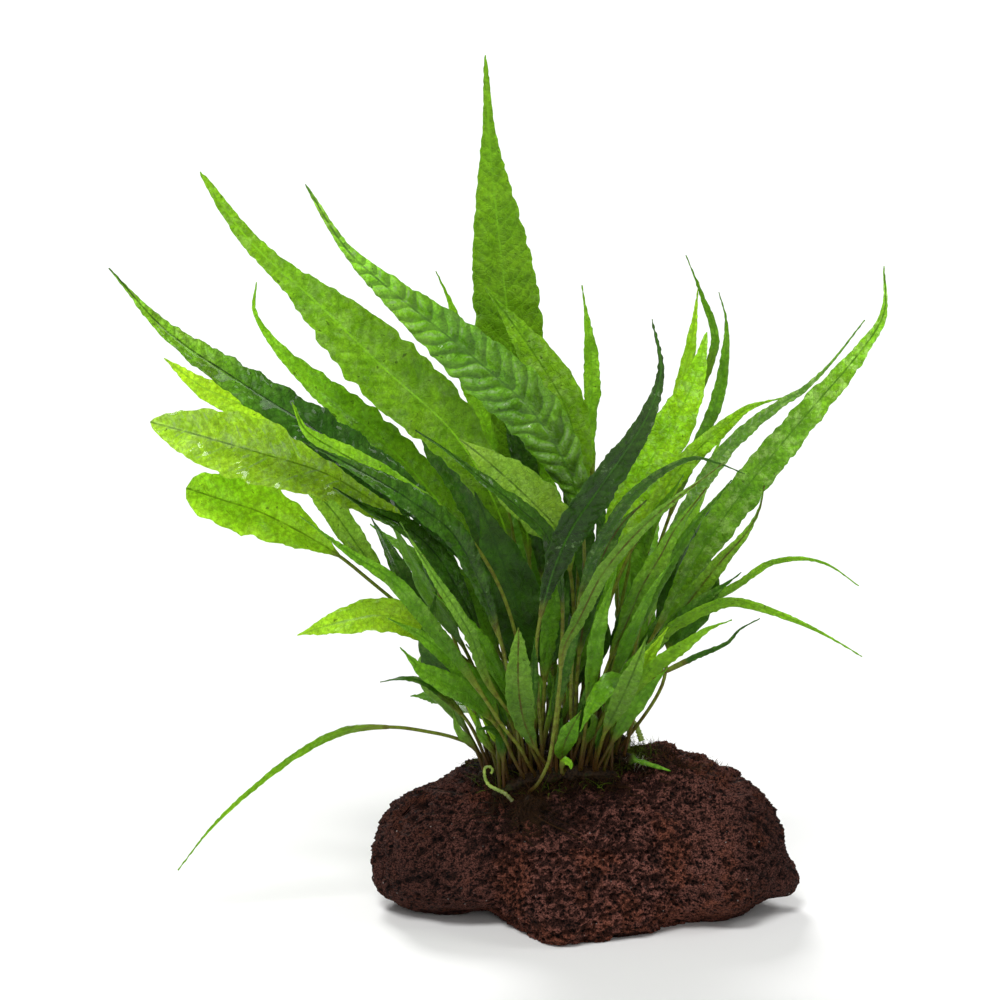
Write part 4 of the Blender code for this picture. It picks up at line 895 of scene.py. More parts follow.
def tubes(paths, radii, sides):
    """Corners and faces of round stems, each along its own row of points."""
    paths = np.asarray(paths, float)
    count, rows, _ = paths.shape
    ahead = unit(np.gradient(paths, axis=1))
    level = unit(np.cross(ahead, np.array([0.31, -0.9, 0.3])))
    raised = np.cross(ahead, level)
    turn = 2.0 * math.pi * np.arange(sides) / sides
    spokes = level[:, :, None] * np.cos(turn)[:, None] + raised[:, :, None] * np.sin(turn)[:, None]
    corners = paths[:, :, None] + spokes * np.asarray(radii, float)[..., None, None]
    faces = []
    for number in range(count):
        faces.extend(tube_faces(rows, sides, number * rows * sides))
    return corners.reshape(-1, 3), faces


def smooth_curve(knots):
    """A function of 0 to 1 that runs evenly along a smooth curve through the points, and its length."""
    knots = np.asarray(knots, float)
    reach = np.concatenate([[0.0], np.cumsum(np.linalg.norm(np.diff(knots, axis=0), axis=1))])
    low = np.maximum(np.arange(len(knots)) - 1, 0)
    high = np.minimum(np.arange(len(knots)) + 1, len(knots) - 1)
    slopes = (knots[high] - knots[low]) / (reach[high] - reach[low])[:, None]

    def at(shares):
        way = np.atleast_1d(shares) * reach[-1]
        number = np.clip(np.searchsorted(reach, way, side="right") - 1, 0, len(knots) - 2)
        span = (reach[number + 1] - reach[number])[:, None]
        share = (way[:, None] - reach[number][:, None]) / span
        square, cube = share**2, share**3
        return (
            knots[number] * (2.0 * cube - 3.0 * square + 1.0)
            + slopes[number] * (span * (cube - 2.0 * square + share))
            + knots[number + 1] * (3.0 * square - 2.0 * cube)
            + slopes[number + 1] * (span * (cube - square))
        )

    return at, reach[-1]


def frames_along(curve, shares, roll):
    """Places, sides and faces of a blade: at no roll its face looks at the front view's eye."""
    step = 0.004
    place = curve(shares)
    ahead = unit(curve(np.minimum(shares + step, 1.0)) - curve(np.maximum(shares - step, 0.0)))
    face = unit(-FORWARD - ahead * (ahead @ -FORWARD)[:, None])
    side = np.cross(ahead, face)
    turned = face * np.cos(roll)[:, None] + side * np.sin(roll)[:, None]
    return place, np.cross(ahead, turned), turned


def blade_width(share, width, start, peak, slender, blunt=TIP_FULLNESS):
    """Width of a leaf at shares of its length: stalk, swelling blade and drawn-out or blunt tip."""
    swell = np.clip((peak - share) / (peak - start), 0.0, 1.0)
    fall = np.clip((share - peak) / (1.0 - peak), 0.0, 1.0)
    rising = np.maximum(STALK, width * (1.0 - swell**2) ** 1.5)
    drawn_out = ((1.0 - fall**2) ** (6.0 * slender) + (blunt * np.sqrt(1.0 - fall)) ** 6) ** (1.0 / 6.0)
    falling = np.maximum(TIP_WIDTH, width * np.minimum(drawn_out, 1.0))
    return np.where(share <= start, STALK, np.where(share < peak, rising, falling))


def rhizome_line(name):
    """Centre points and radii of a rhizome lying on the stone."""
    line = []
    for x, y, radius in RHIZOMES[name]:
        height = stone_top(x, y, RHIZOME_FOOTPRINT) + radius + RHIZOME_CLEARANCE
        line.append((x, y, height, radius))
    return np.array(line)


def line_at(line, x):
    """A rhizome's middle and radius at x, one row for each of them."""
    return np.array([np.interp(x, line[:, 0], column) for column in line.T])


def foot_of(line, side, x):
    """Where a leaf stands on a rhizome's line, just clear of its bark, and the line's middle there."""
    middle = line_at(line, x)
    away = middle[3] + FOOT_GAP + STALK / 2.0
    lean = np.array([0.0, side * away * math.sin(FOOT_LEAN), away * math.cos(FOOT_LEAN)])
    return middle[:3] + lean, middle[:3]


class Nodes:
    """A material's node tree, with short ways to add to it."""

    def __init__(self, name):
        self.material = bpy.data.materials.new(name)
        self.material.use_nodes = True
        self.tree = self.material.node_tree
        self.shader = self.tree.nodes["Principled BSDF"]
        self.output = self.tree.nodes["Material Output"]

    def feed(self, socket, value):
        """Joins a socket to another node's output, or sets it."""
        if isinstance(value, bpy.types.NodeSocket):
            self.tree.links.new(value, socket)
        elif isinstance(value, tuple) and socket.type == "RGBA":
            socket.default_value = (*value, 1.0)
        else:
            socket.default_value = value

    def add(self, kind, sockets, result=0, **settings):
        """A node with these settings and inputs, and its output."""
        node = self.tree.nodes.new("ShaderNode" + kind)
        for key, value in settings.items():
            setattr(node, key, value)
        for socket, value in sockets.items():
            self.feed(node.inputs[socket], value)
        return node.outputs[result]

    def value(self, name):
        """A value that the mesh holds at each corner."""
        return self.add("Attribute", {}, "Fac", attribute_name=name)

    def math(self, operation, first, second=0.0):
        return self.add("Math", {0: first, 1: second}, operation=operation)

    def times(self, first, second):
        return self.math("MULTIPLY", first, second)

    def mix(self, share, first, second):
        return self.add("Mix", {0: share, 6: first, 7: second}, 2, data_type="RGBA")

    def span(self, value, low, high, start=0.0, end=1.0):
        """A soft rise from start to end as the value goes from low to high."""
        sockets = {"Value": value, "From Min": low, "From Max": high, "To Min": start, "To Max": end}
        return self.add("MapRange", sockets, interpolation_type="SMOOTHSTEP")

    def noise(self, place, size, detail=3.0, rough=0.55):
        """Cloudy noise whose features are about this large."""
        sockets = {"Vector": place, "Scale": 1.0 / size, "Detail": detail, "Roughness": rough}
        return self.add("TexNoise", sockets, "Fac")

    def cells(self, place, size, feature="DISTANCE_TO_EDGE"):
        return self.add("TexVoronoi", {"Vector": place, "Scale": 1.0 / size}, "Distance", feature=feature)

    def place(self):
        """The object's own coordinates, in millimetres."""
        return self.scaled(self.add("TexCoord", {}, "Object"), 1.0 / MM)

    def scaled(self, colour, share):
        return self.add("VectorMath", {0: colour, 3: share}, operation="SCALE")

    def bump(self, height, strength, distance):
        return self.add("Bump", {"Strength": strength, "Distance": distance * MM, "Height": height})

    def finish(self, colour, roughness, normal=None, specular=0.5):
        self.feed(self.shader.inputs["Base Color"], colour)
        self.feed(self.shader.inputs["Roughness"], roughness)
        self.shader.inputs["Specular IOR Level"].default_value = specular
        if normal is not None:
            self.feed(self.shader.inputs["Normal"], normal)
        return self.material

    def shine_through(self, colour, share):
        """Lets light through the piece, tinted by this colour."""
        through = self.add("BsdfTranslucent", {"Color": colour})
        both = self.add("MixShader", {0: share, 1: self.shader.outputs[0], 2: through})
        self.feed(self.output.inputs["Surface"], both)


def leaf_material(tone, wet):
    """A fern blade: mottled green, side veins and a fine net, a midrib and a stalk with a brown foot."""
    shade, light, through = TONES[tone]
    nodes = Nodes("leaf_" + tone + ("_wet" if wet else ""))
    across, along = nodes.value("across"), nodes.value("along")
    blade, share, edge = nodes.value("blade"), nodes.value("share"), nodes.value("edge")
    plane = nodes.add("CombineXYZ", {0: across, 1: along, 2: nodes.value("seed")})
    dark, pale = tuple(0.5 * part for part in shade), tuple(1.3 * part for part in light)
    colour = nodes.mix(nodes.span(nodes.noise(plane, 6.0, 5.0, 0.65), 0.32, 0.68), shade, light)
    clouds = nodes.span(nodes.noise(plane, 16.0), 0.3, 0.7, 0.4, 1.0)
    warm = nodes.times(nodes.value("warm"), clouds)
    yellow = (1.3 * light[1], 1.35 * light[1], 0.01)
    colour = nodes.mix(nodes.times(warm, 0.35), colour, yellow)
    # Painted sheen: pale patches that stand in for light shining off the blade
    painted_sheen = nodes.span(nodes.noise(plane, 3.2, 5.0, 0.75), 0.47, 0.62)
    painted_sheen = nodes.times(painted_sheen, nodes.value("painted_sheen"))
    colour = nodes.mix(nodes.times(painted_sheen, 0.5), colour, MARKS["painted_sheen"])
    # Painted shade and light: each blade is darker towards its foot, deep in the bush, and lighter towards
    # its tip
    lift = nodes.times(nodes.span(share, 0.15, 0.85, 0.48, 1.15), nodes.value("tint"))
    fine = nodes.span(nodes.noise(plane, 1.1, 4.0, 0.7), 0.3, 0.7, 0.68, 1.28)
    turn = nodes.math("FRACT", nodes.value("vein"))
    quilt = nodes.value("quilt")
    # Painted shade and light of the pads: lighter on one side of each side vein, darker on the other, more
    # on quilted blades
    painted_relief_shade = nodes.math("ADD", 1.0, nodes.times(nodes.span(turn, 0.1, 0.9, -0.34, 0.32), quilt))
    colour = nodes.scaled(colour, nodes.times(nodes.times(fine, painted_relief_shade), lift))
    net = nodes.span(nodes.cells(plane, 1.5), 0.0, 0.12, 1.0, 0.0)
    vein_colour = nodes.mix(nodes.value("veins"), dark, pale)
    colour = nodes.mix(nodes.times(net, 0.26), colour, vein_colour)
    beside = nodes.math("ABSOLUTE", nodes.math("SUBTRACT", turn, 0.5))
    line = nodes.times(nodes.span(beside, 0.42, 0.495), nodes.span(edge, 0.7, 1.0, 1.0, 0.2))
    drawn = nodes.math("ADD", 0.22, nodes.times(quilt, 0.24))
    colour = nodes.mix(nodes.times(line, drawn), colour, vein_colour)
    spots = nodes.span(nodes.noise(plane, 1.5, 2.0), 0.70, 0.73)
    colour = nodes.mix(nodes.times(spots, 0.7), colour, MARKS["spot"])
    # Painted highlights on wet blades: small scattered glints on deep green ones, crescents along the pads
    # on the others
    if wet and tone == "deep":
        sheen = nodes.span(nodes.noise(plane, 1.7, 4.0, 0.7), 0.60, 0.66, 0.0, 0.5)
        sheen = nodes.times(sheen, nodes.span(nodes.noise(plane, 9.0), 0.45, 0.6))
        colour = nodes.mix(sheen, colour, MARKS["sheen on deep green"])
    elif wet:
        sheen = nodes.times(nodes.span(turn, 0.56, 0.72), nodes.span(turn, 0.78, 0.92, 1.0, 0.0))
        broken = nodes.span(nodes.noise(plane, 2.2, 3.0, 0.6), 0.46, 0.6, 0.0, 0.55)
        sheen = nodes.times(sheen, broken)
        sheen = nodes.times(sheen, nodes.span(edge, 0.75, 0.9, 1.0, 0.0))
        colour = nodes.mix(sheen, colour, MARKS["sheen"])
    rib = nodes.value("rib")
    rib_colour = nodes.mix(nodes.span(rib, 0.0, 0.5), pale, dark)
    rib_colour = nodes.mix(nodes.span(rib, 0.5, 1.0), rib_colour, MARKS["rib"])
    ragged = nodes.math("ADD", 0.12, nodes.times(nodes.noise(plane, 1.2), 0.2))
    middle = nodes.math("LESS_THAN", nodes.math("ABSOLUTE", across), ragged)
    middle = nodes.times(middle, nodes.span(nodes.noise(plane, 3.5), 0.35, 0.6, 0.35, 0.9))
    colour = nodes.mix(middle, colour, rib_colour)
    colour = nodes.mix(nodes.times(nodes.span(edge, 0.9, 1.0), 0.4), colour, light)
    stem = nodes.mix(nodes.span(along, 1.0, 18.0), MARKS["foot"], MARKS["stalk"])
    stem = nodes.mix(nodes.span(nodes.noise(plane, 2.5), 0.45, 0.6, 0.0, 0.6), stem, MARKS["fleck"])
    colour = nodes.mix(blade, stem, colour)
    roughness = nodes.span(nodes.noise(plane, 3.0, 3.0, 0.6), 0.3, 0.7, 0.3, 0.55)
    height = nodes.math("ADD", nodes.noise(plane, 0.8, 3.0, 0.6), nodes.times(net, -0.5))
    material = nodes.finish(colour, roughness, nodes.bump(height, 0.7, 0.3), 0.12)
    nodes.shader.inputs["Coat Weight"].default_value = (0.3 if tone == "deep" else 0.45) if wet else 0.14
    nodes.shader.inputs["Coat Roughness"].default_value = 0.07 if wet else 0.16
    glow = nodes.mix(0.5, colour, MARKS["through"])
    nodes.shine_through(glow, 0.6 * through if wet else through)
    return material


def leaf_rows(length, start, step):
    """Shares of a leaf's length for its rows of points: far apart on the stalk, close on the blade."""
    stalk = np.linspace(0.0, start, max(3, round(start * length / STALK_STEP)), endpoint=False)
    blade = np.linspace(start, 1.0, max(8, round((1.0 - start) * length / step)))
    return np.concatenate([stalk, blade])


def build_leaf(row, lines, materials, seed, node=True, step=BLADE_STEP):
    """A leaf: a round stalk that flattens into a thin, veined and ruffled blade."""
    name, rhizome, side, x, tone, width, start, peak, slender, roll, route = row
    look = {**PLAIN_LOOK, "slender": slender, "peak": peak, **LOOKS.get(name, {})}
    draw = np.random.default_rng(seed)
    foot, root = foot_of(lines[rhizome], side, x)
    knots = route if name.startswith("inner") else fanned(route)
    curve, length = smooth_curve(np.vstack([foot, knots]))
    shares = leaf_rows(length, start, WET_STEP if look["wet"] else step)
    along = shares * length
    twist, twist_length = TWIST
    swing = np.radians(roll) + twist * waves(along[:, None], seed, twist_length) * shares
    place, sides, faces = frames_along(curve, shares, swing)
    wide = blade_width(shares, width, start, look["peak"], look["slender"], look["blunt"]) / 2.0
    blade = np.where(shares > peak, 1.0, smooth_step(wide, STALK / 2.0, STALK / 2.0 + BLADE_BEGINS))
    wide = np.where(blade > 0.0, wide, STALK_RADIUS)
    start_at = start * length
    closest, wider = VEIN_SPACING
    spacing = (closest + wider * width) * look["spacing"]
    drift = VEIN_DRIFT[0] * waves(along[:, None], seed + 5, VEIN_DRIFT[1])
    fewest, apart = BLADE_COLUMNS
    x_share = np.linspace(-1.0, 1.0, 2 * round(fewest + width / apart) + 1)
    x_share = np.sign(x_share) * np.abs(x_share) ** 1.15

    def by_side(first, length):
        """Waves along the blade that differ on its two sides."""
        left, right = (waves(along[:, None], seed + first + side, length)[:, None] for side in range(2))
        return np.where(x_share[None, :] < 0.0, left, right)

    margin = (along - start_at - VEIN_SLANT * wide - VEIN_BEND * wide**2) / spacing + drift
    scallop = SCALLOP * np.minimum(wide / 3.0, 1.0) * (2.0 * np.abs(margin - np.round(margin)) - 0.5)
    reach = wide[:, None] * (1.0 + blade[:, None] * MARGIN_WAVE[0] * by_side(1, MARGIN_WAVE[1]))
    reach = reach + blade[:, None] * (NOTCH[0] * by_side(3, NOTCH[1]) + scallop[:, None])
    across = x_share[None, :] * reach
    far = np.abs(across)
    phase = (along[:, None] - start_at - VEIN_SLANT * far - VEIN_BEND * far**2) / spacing
    phase += 0.25 * np.tanh(across * 2.0) + drift[:, None]
    gap = np.abs(phase - np.round(phase))
    uneven = 0.8 + PAD_WAVE[0] * waves(along[:, None], seed + 11, PAD_WAVE[1])
    pads = look["pads"] * (1.0 - (1.0 - 2.0 * gap) ** 2.2) * uneven[:, None]
    pads *= smooth_step(far, 0.2, 0.22 * width) * (1.0 - np.abs(x_share) ** 3)[None, :]
    fold = BLADE_FOLD * (np.sqrt(far**2 + 0.5) - math.sqrt(0.5))
    beat = 2.0 * math.pi * along / draw.uniform(*RUFFLE_BEAT)
    swell = 0.65 + 0.5 * waves(along[:, None], seed + 8, 30.0)
    left = swell * np.sin(beat + draw.uniform(0.0, 6.0) + 1.8 * waves(along[:, None], seed + 6, 22.0))
    right = np.sin(beat * draw.uniform(0.8, 1.2) + 1.8 * waves(along[:, None], seed + 9, 18.0))
    ruffle = np.where(x_share[None, :] < 0.0, left[:, None], right[:, None])
    ruffle = ruffle * look["ruffle"] * np.abs(x_share[None, :]) ** 3 * np.minimum(wide / 5.0, 1.2)[:, None]
    spots = np.stack([across, np.broadcast_to(along[:, None], across.shape)], -1)
    buckle = BUCKLE[0] * waves(spots, seed + 7, BUCKLE[1])
    lift = blade[:, None] * (pads + fold + ruffle + buckle * smooth_step(far, 0.5, 3.0))
    round_half = STALK_RADIUS * np.sqrt(np.maximum(1.0 - x_share**2, 0.0))[None, :]
    flat_half = BLADE_THICKNESS / 2.0 * (1.0 - np.abs(x_share) ** 8)[None, :]
    half = (1.0 - blade[:, None]) * round_half + blade[:, None] * flat_half
    rib = RIB_HEIGHT * np.exp(-((across / RIB_WIDTH) ** 2)) * blade[:, None] * (1.15 - shares[:, None])
    top = lift + half + rib * 0.5
    under = lift - half - rib * 1.6
    grid_top = place[:, None] + sides[:, None] * across[..., None] + faces[:, None] * top[..., None]
    grid_under = place[:, None] + sides[:, None] * across[..., None] + faces[:, None] * under[..., None]
    rings = np.concatenate([grid_top, grid_under[:, -2:0:-1]], axis=1)
    sink = unit(root - foot) * FOOT_REACH
    rings = np.concatenate([rings[:1] + sink, rings], axis=0)
    ring_size = rings.shape[1]

    def around(value):
        """A value at each corner of the rings, from its values across the top."""
        value = np.broadcast_to(value, across.shape)
        value = np.concatenate([value, value[:, -2:0:-1]], axis=1)
        return np.concatenate([value[:1], value], axis=0)

    upper = look["tip"] * smooth_step(shares, *LIGHT_TIP)
    values = {
        "across": around(across),
        "along": around(along[:, None]),
        "share": around(shares[:, None]),
        "blade": around(blade[:, None]),
        "edge": around(np.abs(x_share)[None, :]),
        "vein": around(phase),
        "rib": around(look["rib"]),
        "quilt": around(min(look["pads"] / 1.2, 1.0)),
        "tint": around(1.0 + look["tint"] + draw.uniform(-0.06, 0.06) + upper[:, None]),
        "warm": around(look["warm"] + (0.25 * upper)[:, None].clip(0.0, 0.6)),
        "painted_sheen": around(look["painted_sheen"]),
        "veins": around(look["veins"]),
        "seed": around(float(seed)),
    }
    corners = rings.reshape(-1, 3)
    faces = tube_faces(len(rings), ring_size)
    nodes = [name] if node else []
    title = name.replace("leaf", "blade") if node else name
    piece(title, corners, faces, materials[tone, look["wet"]], nodes, values)


def streaks(points):
    """Directions that the stone's pores are drawn out along: down to the left and to the right."""
    slope = -0.6 * np.clip(points[:, 0] / 30.0, -1.0, 1.0)
    return unit(np.stack([np.full(len(points), 0.8), np.zeros(len(points)), slope], axis=1))


def stone_pores(points):
    """How deep each surface point lies in the nearest pores, and how much of a pore's depth that is."""
    draw = np.random.default_rng(SEEDS["pores"])
    sunk = np.zeros(len(points))
    share = np.zeros(len(points))
    streak = streaks(points)
    for count, radii, depths in PORES.values():
        chosen = points[draw.choice(len(points), count, replace=False)]
        radius = draw.uniform(*radii, count)
        depth = draw.uniform(*depths, count)
        tree = KDTree(count)
        for number, spot in enumerate(chosen):
            tree.insert(spot, number)
        tree.balance()
        found = np.array([[near[1] for near in tree.find_n(point, 3)] for point in points])
        for nearest in found.T:
            offset = points - chosen[nearest]
            lengthwise = (offset * streak).sum(1)
            sideways = np.linalg.norm(offset - streak * lengthwise[:, None], axis=1)
            far = np.hypot(sideways, lengthwise / STREAK) / radius[nearest]
            bowl = np.clip(1.0 - far**2, 0.0, 1.0)
            sunk = np.maximum(sunk, depth[nearest] * bowl)
            share = np.maximum(share, bowl)
    return sunk, share


def stone_material():
    """Dark red-brown lava: crumbly grain, small pores with painted shade, redder in patches and at the rim.
    """
    nodes = Nodes("lava_stone")
    place = nodes.place()
    drawn = nodes.add("Attribute", {}, "Vector", attribute_name="drawn")
    pore_shade, painted_shade, low = nodes.value("pore_shade"), nodes.value("painted_shade"), nodes.value("low")
    holes = nodes.span(nodes.cells(drawn, SPONGE, "F1"), 0.24, 0.37, 1.0, 0.0)
    holes = nodes.times(holes, nodes.span(nodes.noise(place, 2.6, 2.0), 0.32, 0.46))
    tiny = nodes.span(nodes.cells(drawn, 0.55 * SPONGE, "F1"), 0.2, 0.33, 0.75, 0.0)
    holes = nodes.math("MAXIMUM", holes, tiny)
    grain = nodes.noise(place, 0.4, 4.0, 0.75)
    colour = nodes.mix(nodes.span(grain, 0.40, 0.60), LAVA["dark"], LAVA["light"])
    red = nodes.span(nodes.noise(place, 13.0, 4.0, 0.65), 0.48, 0.62)
    red = nodes.math("MAXIMUM", nodes.times(red, 0.6), nodes.times(low, 0.6))
    rust = nodes.mix(nodes.span(grain, 0.38, 0.64), LAVA["dark rust"], LAVA["light rust"])
    colour = nodes.mix(red, colour, rust)
    dull = nodes.span(nodes.noise(place, 20.0, 3.0, 0.6), 0.36, 0.66, 0.86, 1.08)
    # Painted light: the front middle, in the plant's shade, is made paler than the sides
    colour = nodes.scaled(colour, nodes.times(dull, nodes.value("pale")))
    # Painted shade: the sponge's small holes darkened nearly to black
    colour = nodes.mix(nodes.times(holes, 0.9), colour, LAVA["pore_shade"])
    glint = nodes.span(nodes.cells(place, 3.4, "F1"), 0.075, 0.05)
    colour = nodes.mix(nodes.times(glint, 0.5), colour, LAVA["glint"])
    # Painted shade: darker towards the deepest middle of each pore
    colour = nodes.scaled(colour, nodes.span(pore_shade, 0.3, 0.9, 1.05, 0.26))
    # Painted shade: the hollow below the plant's front and the top under the plant darkened nearly to black
    colour = nodes.mix(painted_shade, colour, LAVA["painted_shade"])
    height = nodes.math("SUBTRACT", nodes.noise(place, 0.5, 4.0, 0.75), nodes.times(holes, 0.9))
    rough = nodes.span(nodes.noise(place, 5.0), 0.3, 0.7, 0.6, 0.95)
    return nodes.finish(colour, rough, nodes.bump(height, 1.0, 0.7), 0.08)


def build_stone():
    """The stone: rings of points from the rim of its flat sole up to its top, in two pieces."""
    turns = np.arange(STONE_COLUMNS) * (2.0 * math.pi / STONE_COLUMNS)
    rim = rim_angles(turns)
    rises = np.arange(STONE_ROWS)[:, None] / STONE_ROWS
    tilts = (rim + (math.pi / 2.0 - rim) * rises).ravel()
    ways = ways_of(np.tile(turns, STONE_ROWS), tilts)
    reach = surface_along(HEART, ways)
    smooth = HEART + ways * reach[:, None]
    sunk, share = stone_pores(smooth)
    draw = np.random.default_rng(SEEDS["grain"])
    crumb_height, coarse, fine = CRUMBS
    crumbs = 0.5 - np.abs(waves(smooth, SEEDS["crumbs"], coarse))
    crumbs = crumbs + 0.5 * (0.5 - np.abs(waves(smooth, SEEDS["fine crumbs"], fine)))
    lump_height, lump_length = LUMPS
    lumps = lump_height * waves(smooth, SEEDS["lumps"], lump_length)
    lumps = lumps + crumb_height * crumbs * smooth_step(smooth[:, 2], *CRUMBLY_FROM)
    grain = GRAIN * draw.normal(size=len(smooth)).clip(-2.0, 2.0)
    corners = HEART + ways * (reach + SKIN + lumps + grain - sunk)[:, None]
    corners[:STONE_COLUMNS, 2] = 0.0
    corners[STONE_COLUMNS:, 2] = np.maximum(corners[STONE_COLUMNS:, 2], 0.05)
    top = HEART + np.array([0.0, 0.0, surface_along(HEART, np.array([[0.0, 0.0, 1.0]]))[0]])
    corners = np.vstack([corners, top])
    # Painted shade: darker in the hollow below the plant's front and on the top under the plant
    painted_shade = sum(share * nearness(corners, centre, half) for centre, half, share in (SHADED_HOLLOW, UNDER_PLANT))
    streak = streaks(corners)
    drawn = corners - streak * (1.0 - 1.0 / STREAK) * (corners * streak).sum(1)[:, None]
    patchy = (0.6 + 0.4 * waves(corners, SEEDS["foot"], 6.0)).clip(0.0, 1.0)
    values = {
        "pore_shade": np.append(share, 0.0),
        # Painted light: paler in the front middle, which stands in the plant's shade
        "pale": PAINTED_LIGHT_MIDDLE - PAINTED_LIGHT_FALL * smooth_step(np.abs(corners[:, 0] - PAINTED_LIGHT_CENTRE), *PAINTED_LIGHT_SPAN),
        "painted_shade": np.clip(painted_shade, 0.0, DARKEST_PAINTED_SHADE),
        "low": smooth_step(-corners[:, 2], -9.0, -2.0) * patchy,
        "drawn": drawn,
    }
    material = stone_material()
    ring = np.arange(STONE_COLUMNS)
    after = (ring + 1) % STONE_COLUMNS
    half = STONE_ROWS // 2
    for name, first, last in (("lower", 0, half), ("upper", half, STONE_ROWS - 1)):
        faces = [ring[::-1].tolist()] if first == 0 else []
        for row in range(last - first):
            faces.extend(between_rings(row * STONE_COLUMNS, STONE_COLUMNS))
        chosen = np.arange(first * STONE_COLUMNS, (last + 1) * STONE_COLUMNS)
        if last == STONE_ROWS - 1:
            chosen = np.append(chosen, len(corners) - 1)
            rim_of_top = (last - first) * STONE_COLUMNS
            tip = np.full(STONE_COLUMNS, len(chosen) - 1)
            faces.extend(np.stack([rim_of_top + ring, rim_of_top + after, tip], 1).tolist())
        part = {key: value[chosen] for key, value in values.items()}
        piece("lava_stone_" + name, corners[chosen], faces, material, ["stone"], part)


def bark_material():
    """A creeping stem: very dark brown scales, with a bright green growing tip."""
    nodes = Nodes("rhizome_bark")
    place = nodes.place()
    scales = nodes.cells(place, 0.8, "F1")
    colour = nodes.mix(nodes.span(scales, 0.1, 0.6), BARK["dark"], BARK["light"])
    green = nodes.span(nodes.noise(place, 3.0), 0.56, 0.68)
    colour = nodes.mix(nodes.times(green, 0.4), colour, BARK["green"])
    bright = nodes.mix(nodes.span(nodes.noise(place, 0.9), 0.4, 0.6), BARK["dark tip"], BARK["light tip"])
    colour = nodes.mix(nodes.value("tip"), colour, bright)
    return nodes.finish(colour, 0.6, nodes.bump(scales, 0.8, 0.4), 0.1)


def build_rhizome(name, line, material):
    """A knobbly creeping stem, whose growing tip is smooth and green on the middle one."""
    curve, length = smooth_curve(line[:, :3])
    rows = round(length / RHIZOME_STEP)
    shares = np.linspace(0.0, 1.0, rows)
    path = curve(shares)
    reach = np.concatenate([[0.0], np.cumsum(np.linalg.norm(np.diff(line[:, :3], axis=0), axis=1))])
    radius = np.interp(shares * reach[-1], reach, line[:, 3])
    radius *= np.sqrt(np.clip(1.0 - (2.0 * shares - 1.0) ** 14, 0.02, 1.0))
    growing = smooth_step(path[:, 0], *GROWING_FROM) if name == "rhizome_middle" else np.zeros(rows)
    radius = np.where(growing > 0.0, radius * (1.0 - 0.42 * growing), radius)
    corners, faces = tubes(path[None], radius[None], RHIZOME_SIDES)
    growing = np.repeat(growing, RHIZOME_SIDES)
    rough = 1.0 - 0.8 * growing
    outward = unit(corners - np.repeat(path, RHIZOME_SIDES, axis=0))
    bumps = 0.26 * waves(corners, SEEDS["bark"], 2.6) + 0.12 * waves(corners, SEEDS["fine bark"], 1.1)
    corners = corners + outward * (bumps * rough)[:, None]
    title = name.replace("rhizome", "creeping_stem")
    piece(title, corners, faces, material, [name], {"tip": growing})


def young_material():
    """A young frond: yellow-green, browner at the foot."""
    nodes = Nodes("young_frond")
    place = nodes.place()
    mottled = nodes.span(nodes.noise(place, 1.6), 0.35, 0.65)
    colour = nodes.mix(mottled, YOUNG["dark"], YOUNG["light"])
    colour = nodes.mix(nodes.value("foot"), colour, YOUNG["foot"])
    return nodes.finish(colour, 0.4, nodes.bump(nodes.noise(place, 0.35), 0.3, 0.1), 0.5)


def build_young(name, node, points, radius_at, brown, material):
    """A young frond along its points, thicker at one end, browner towards its foot."""
    curve, _ = smooth_curve(points)
    shares = np.linspace(0.0, 1.0, YOUNG_ROWS)
    radius = radius_at(shares) * (1.0 + 0.12 * waves(shares[:, None], SEEDS["young"], 0.06))
    corners, faces = tubes(curve(shares)[None], radius[None], YOUNG_SIDES)
    foot = np.repeat(brown * (1.0 - smooth_step(shares, 0.0, 0.45)), YOUNG_SIDES)
    piece(name, corners, faces, material, [node], {"foot": foot})


def fiddlehead_points():
    """The fiddlehead's route and the coil at its end."""
    points = from_front(FIDDLEHEAD_ROUTE)
    turns = math.pi - COIL_TURN * np.arange(1, COIL_POINTS + 1) / COIL_POINTS
    centre = points[-1] + np.array([COIL_RADIUS, 0.0, 0.0])
    coil = centre + COIL_RADIUS * np.stack([np.cos(turns), np.zeros(COIL_POINTS), np.sin(turns)], axis=1)
    return np.vstack([points, coil])


def fibre_material(name, dark, light):
    """A thin root or moss strand, from dark to light by strand."""
    nodes = Nodes(name)
    colour = nodes.mix(nodes.value("light"), dark, light)
    return nodes.finish(colour, 0.6, None, 0.1)


def strands(name, bases, ways, length, radius, material, seed, bend, rows=5):
    """Thin tapering strands that grow from their bases and bend over."""
    draw = np.random.default_rng(seed)
    count = len(bases)
    ways = unit(ways + draw.normal(size=(count, 3)) * 0.55)
    size = length * draw.uniform(0.5, 1.2, count)[:, None, None]
    bent = draw.normal(size=(count, 1, 3)) * bend + np.array([0.0, 0.0, -0.35 * bend])
    share = np.linspace(0.0, 1.0, rows)[None, :, None]
    paths = bases[:, None] + size * (ways[:, None] * share + bent * share**2)
    radii = radius * (1.0 - 0.8 * share[..., 0]) * draw.uniform(0.7, 1.2, count)[:, None]
    corners, faces = tubes(paths, radii, 3)
    light = np.repeat(draw.uniform(0.0, 1.0, count), rows * 3)
    piece(name, corners, faces, material, (), {"light": light})


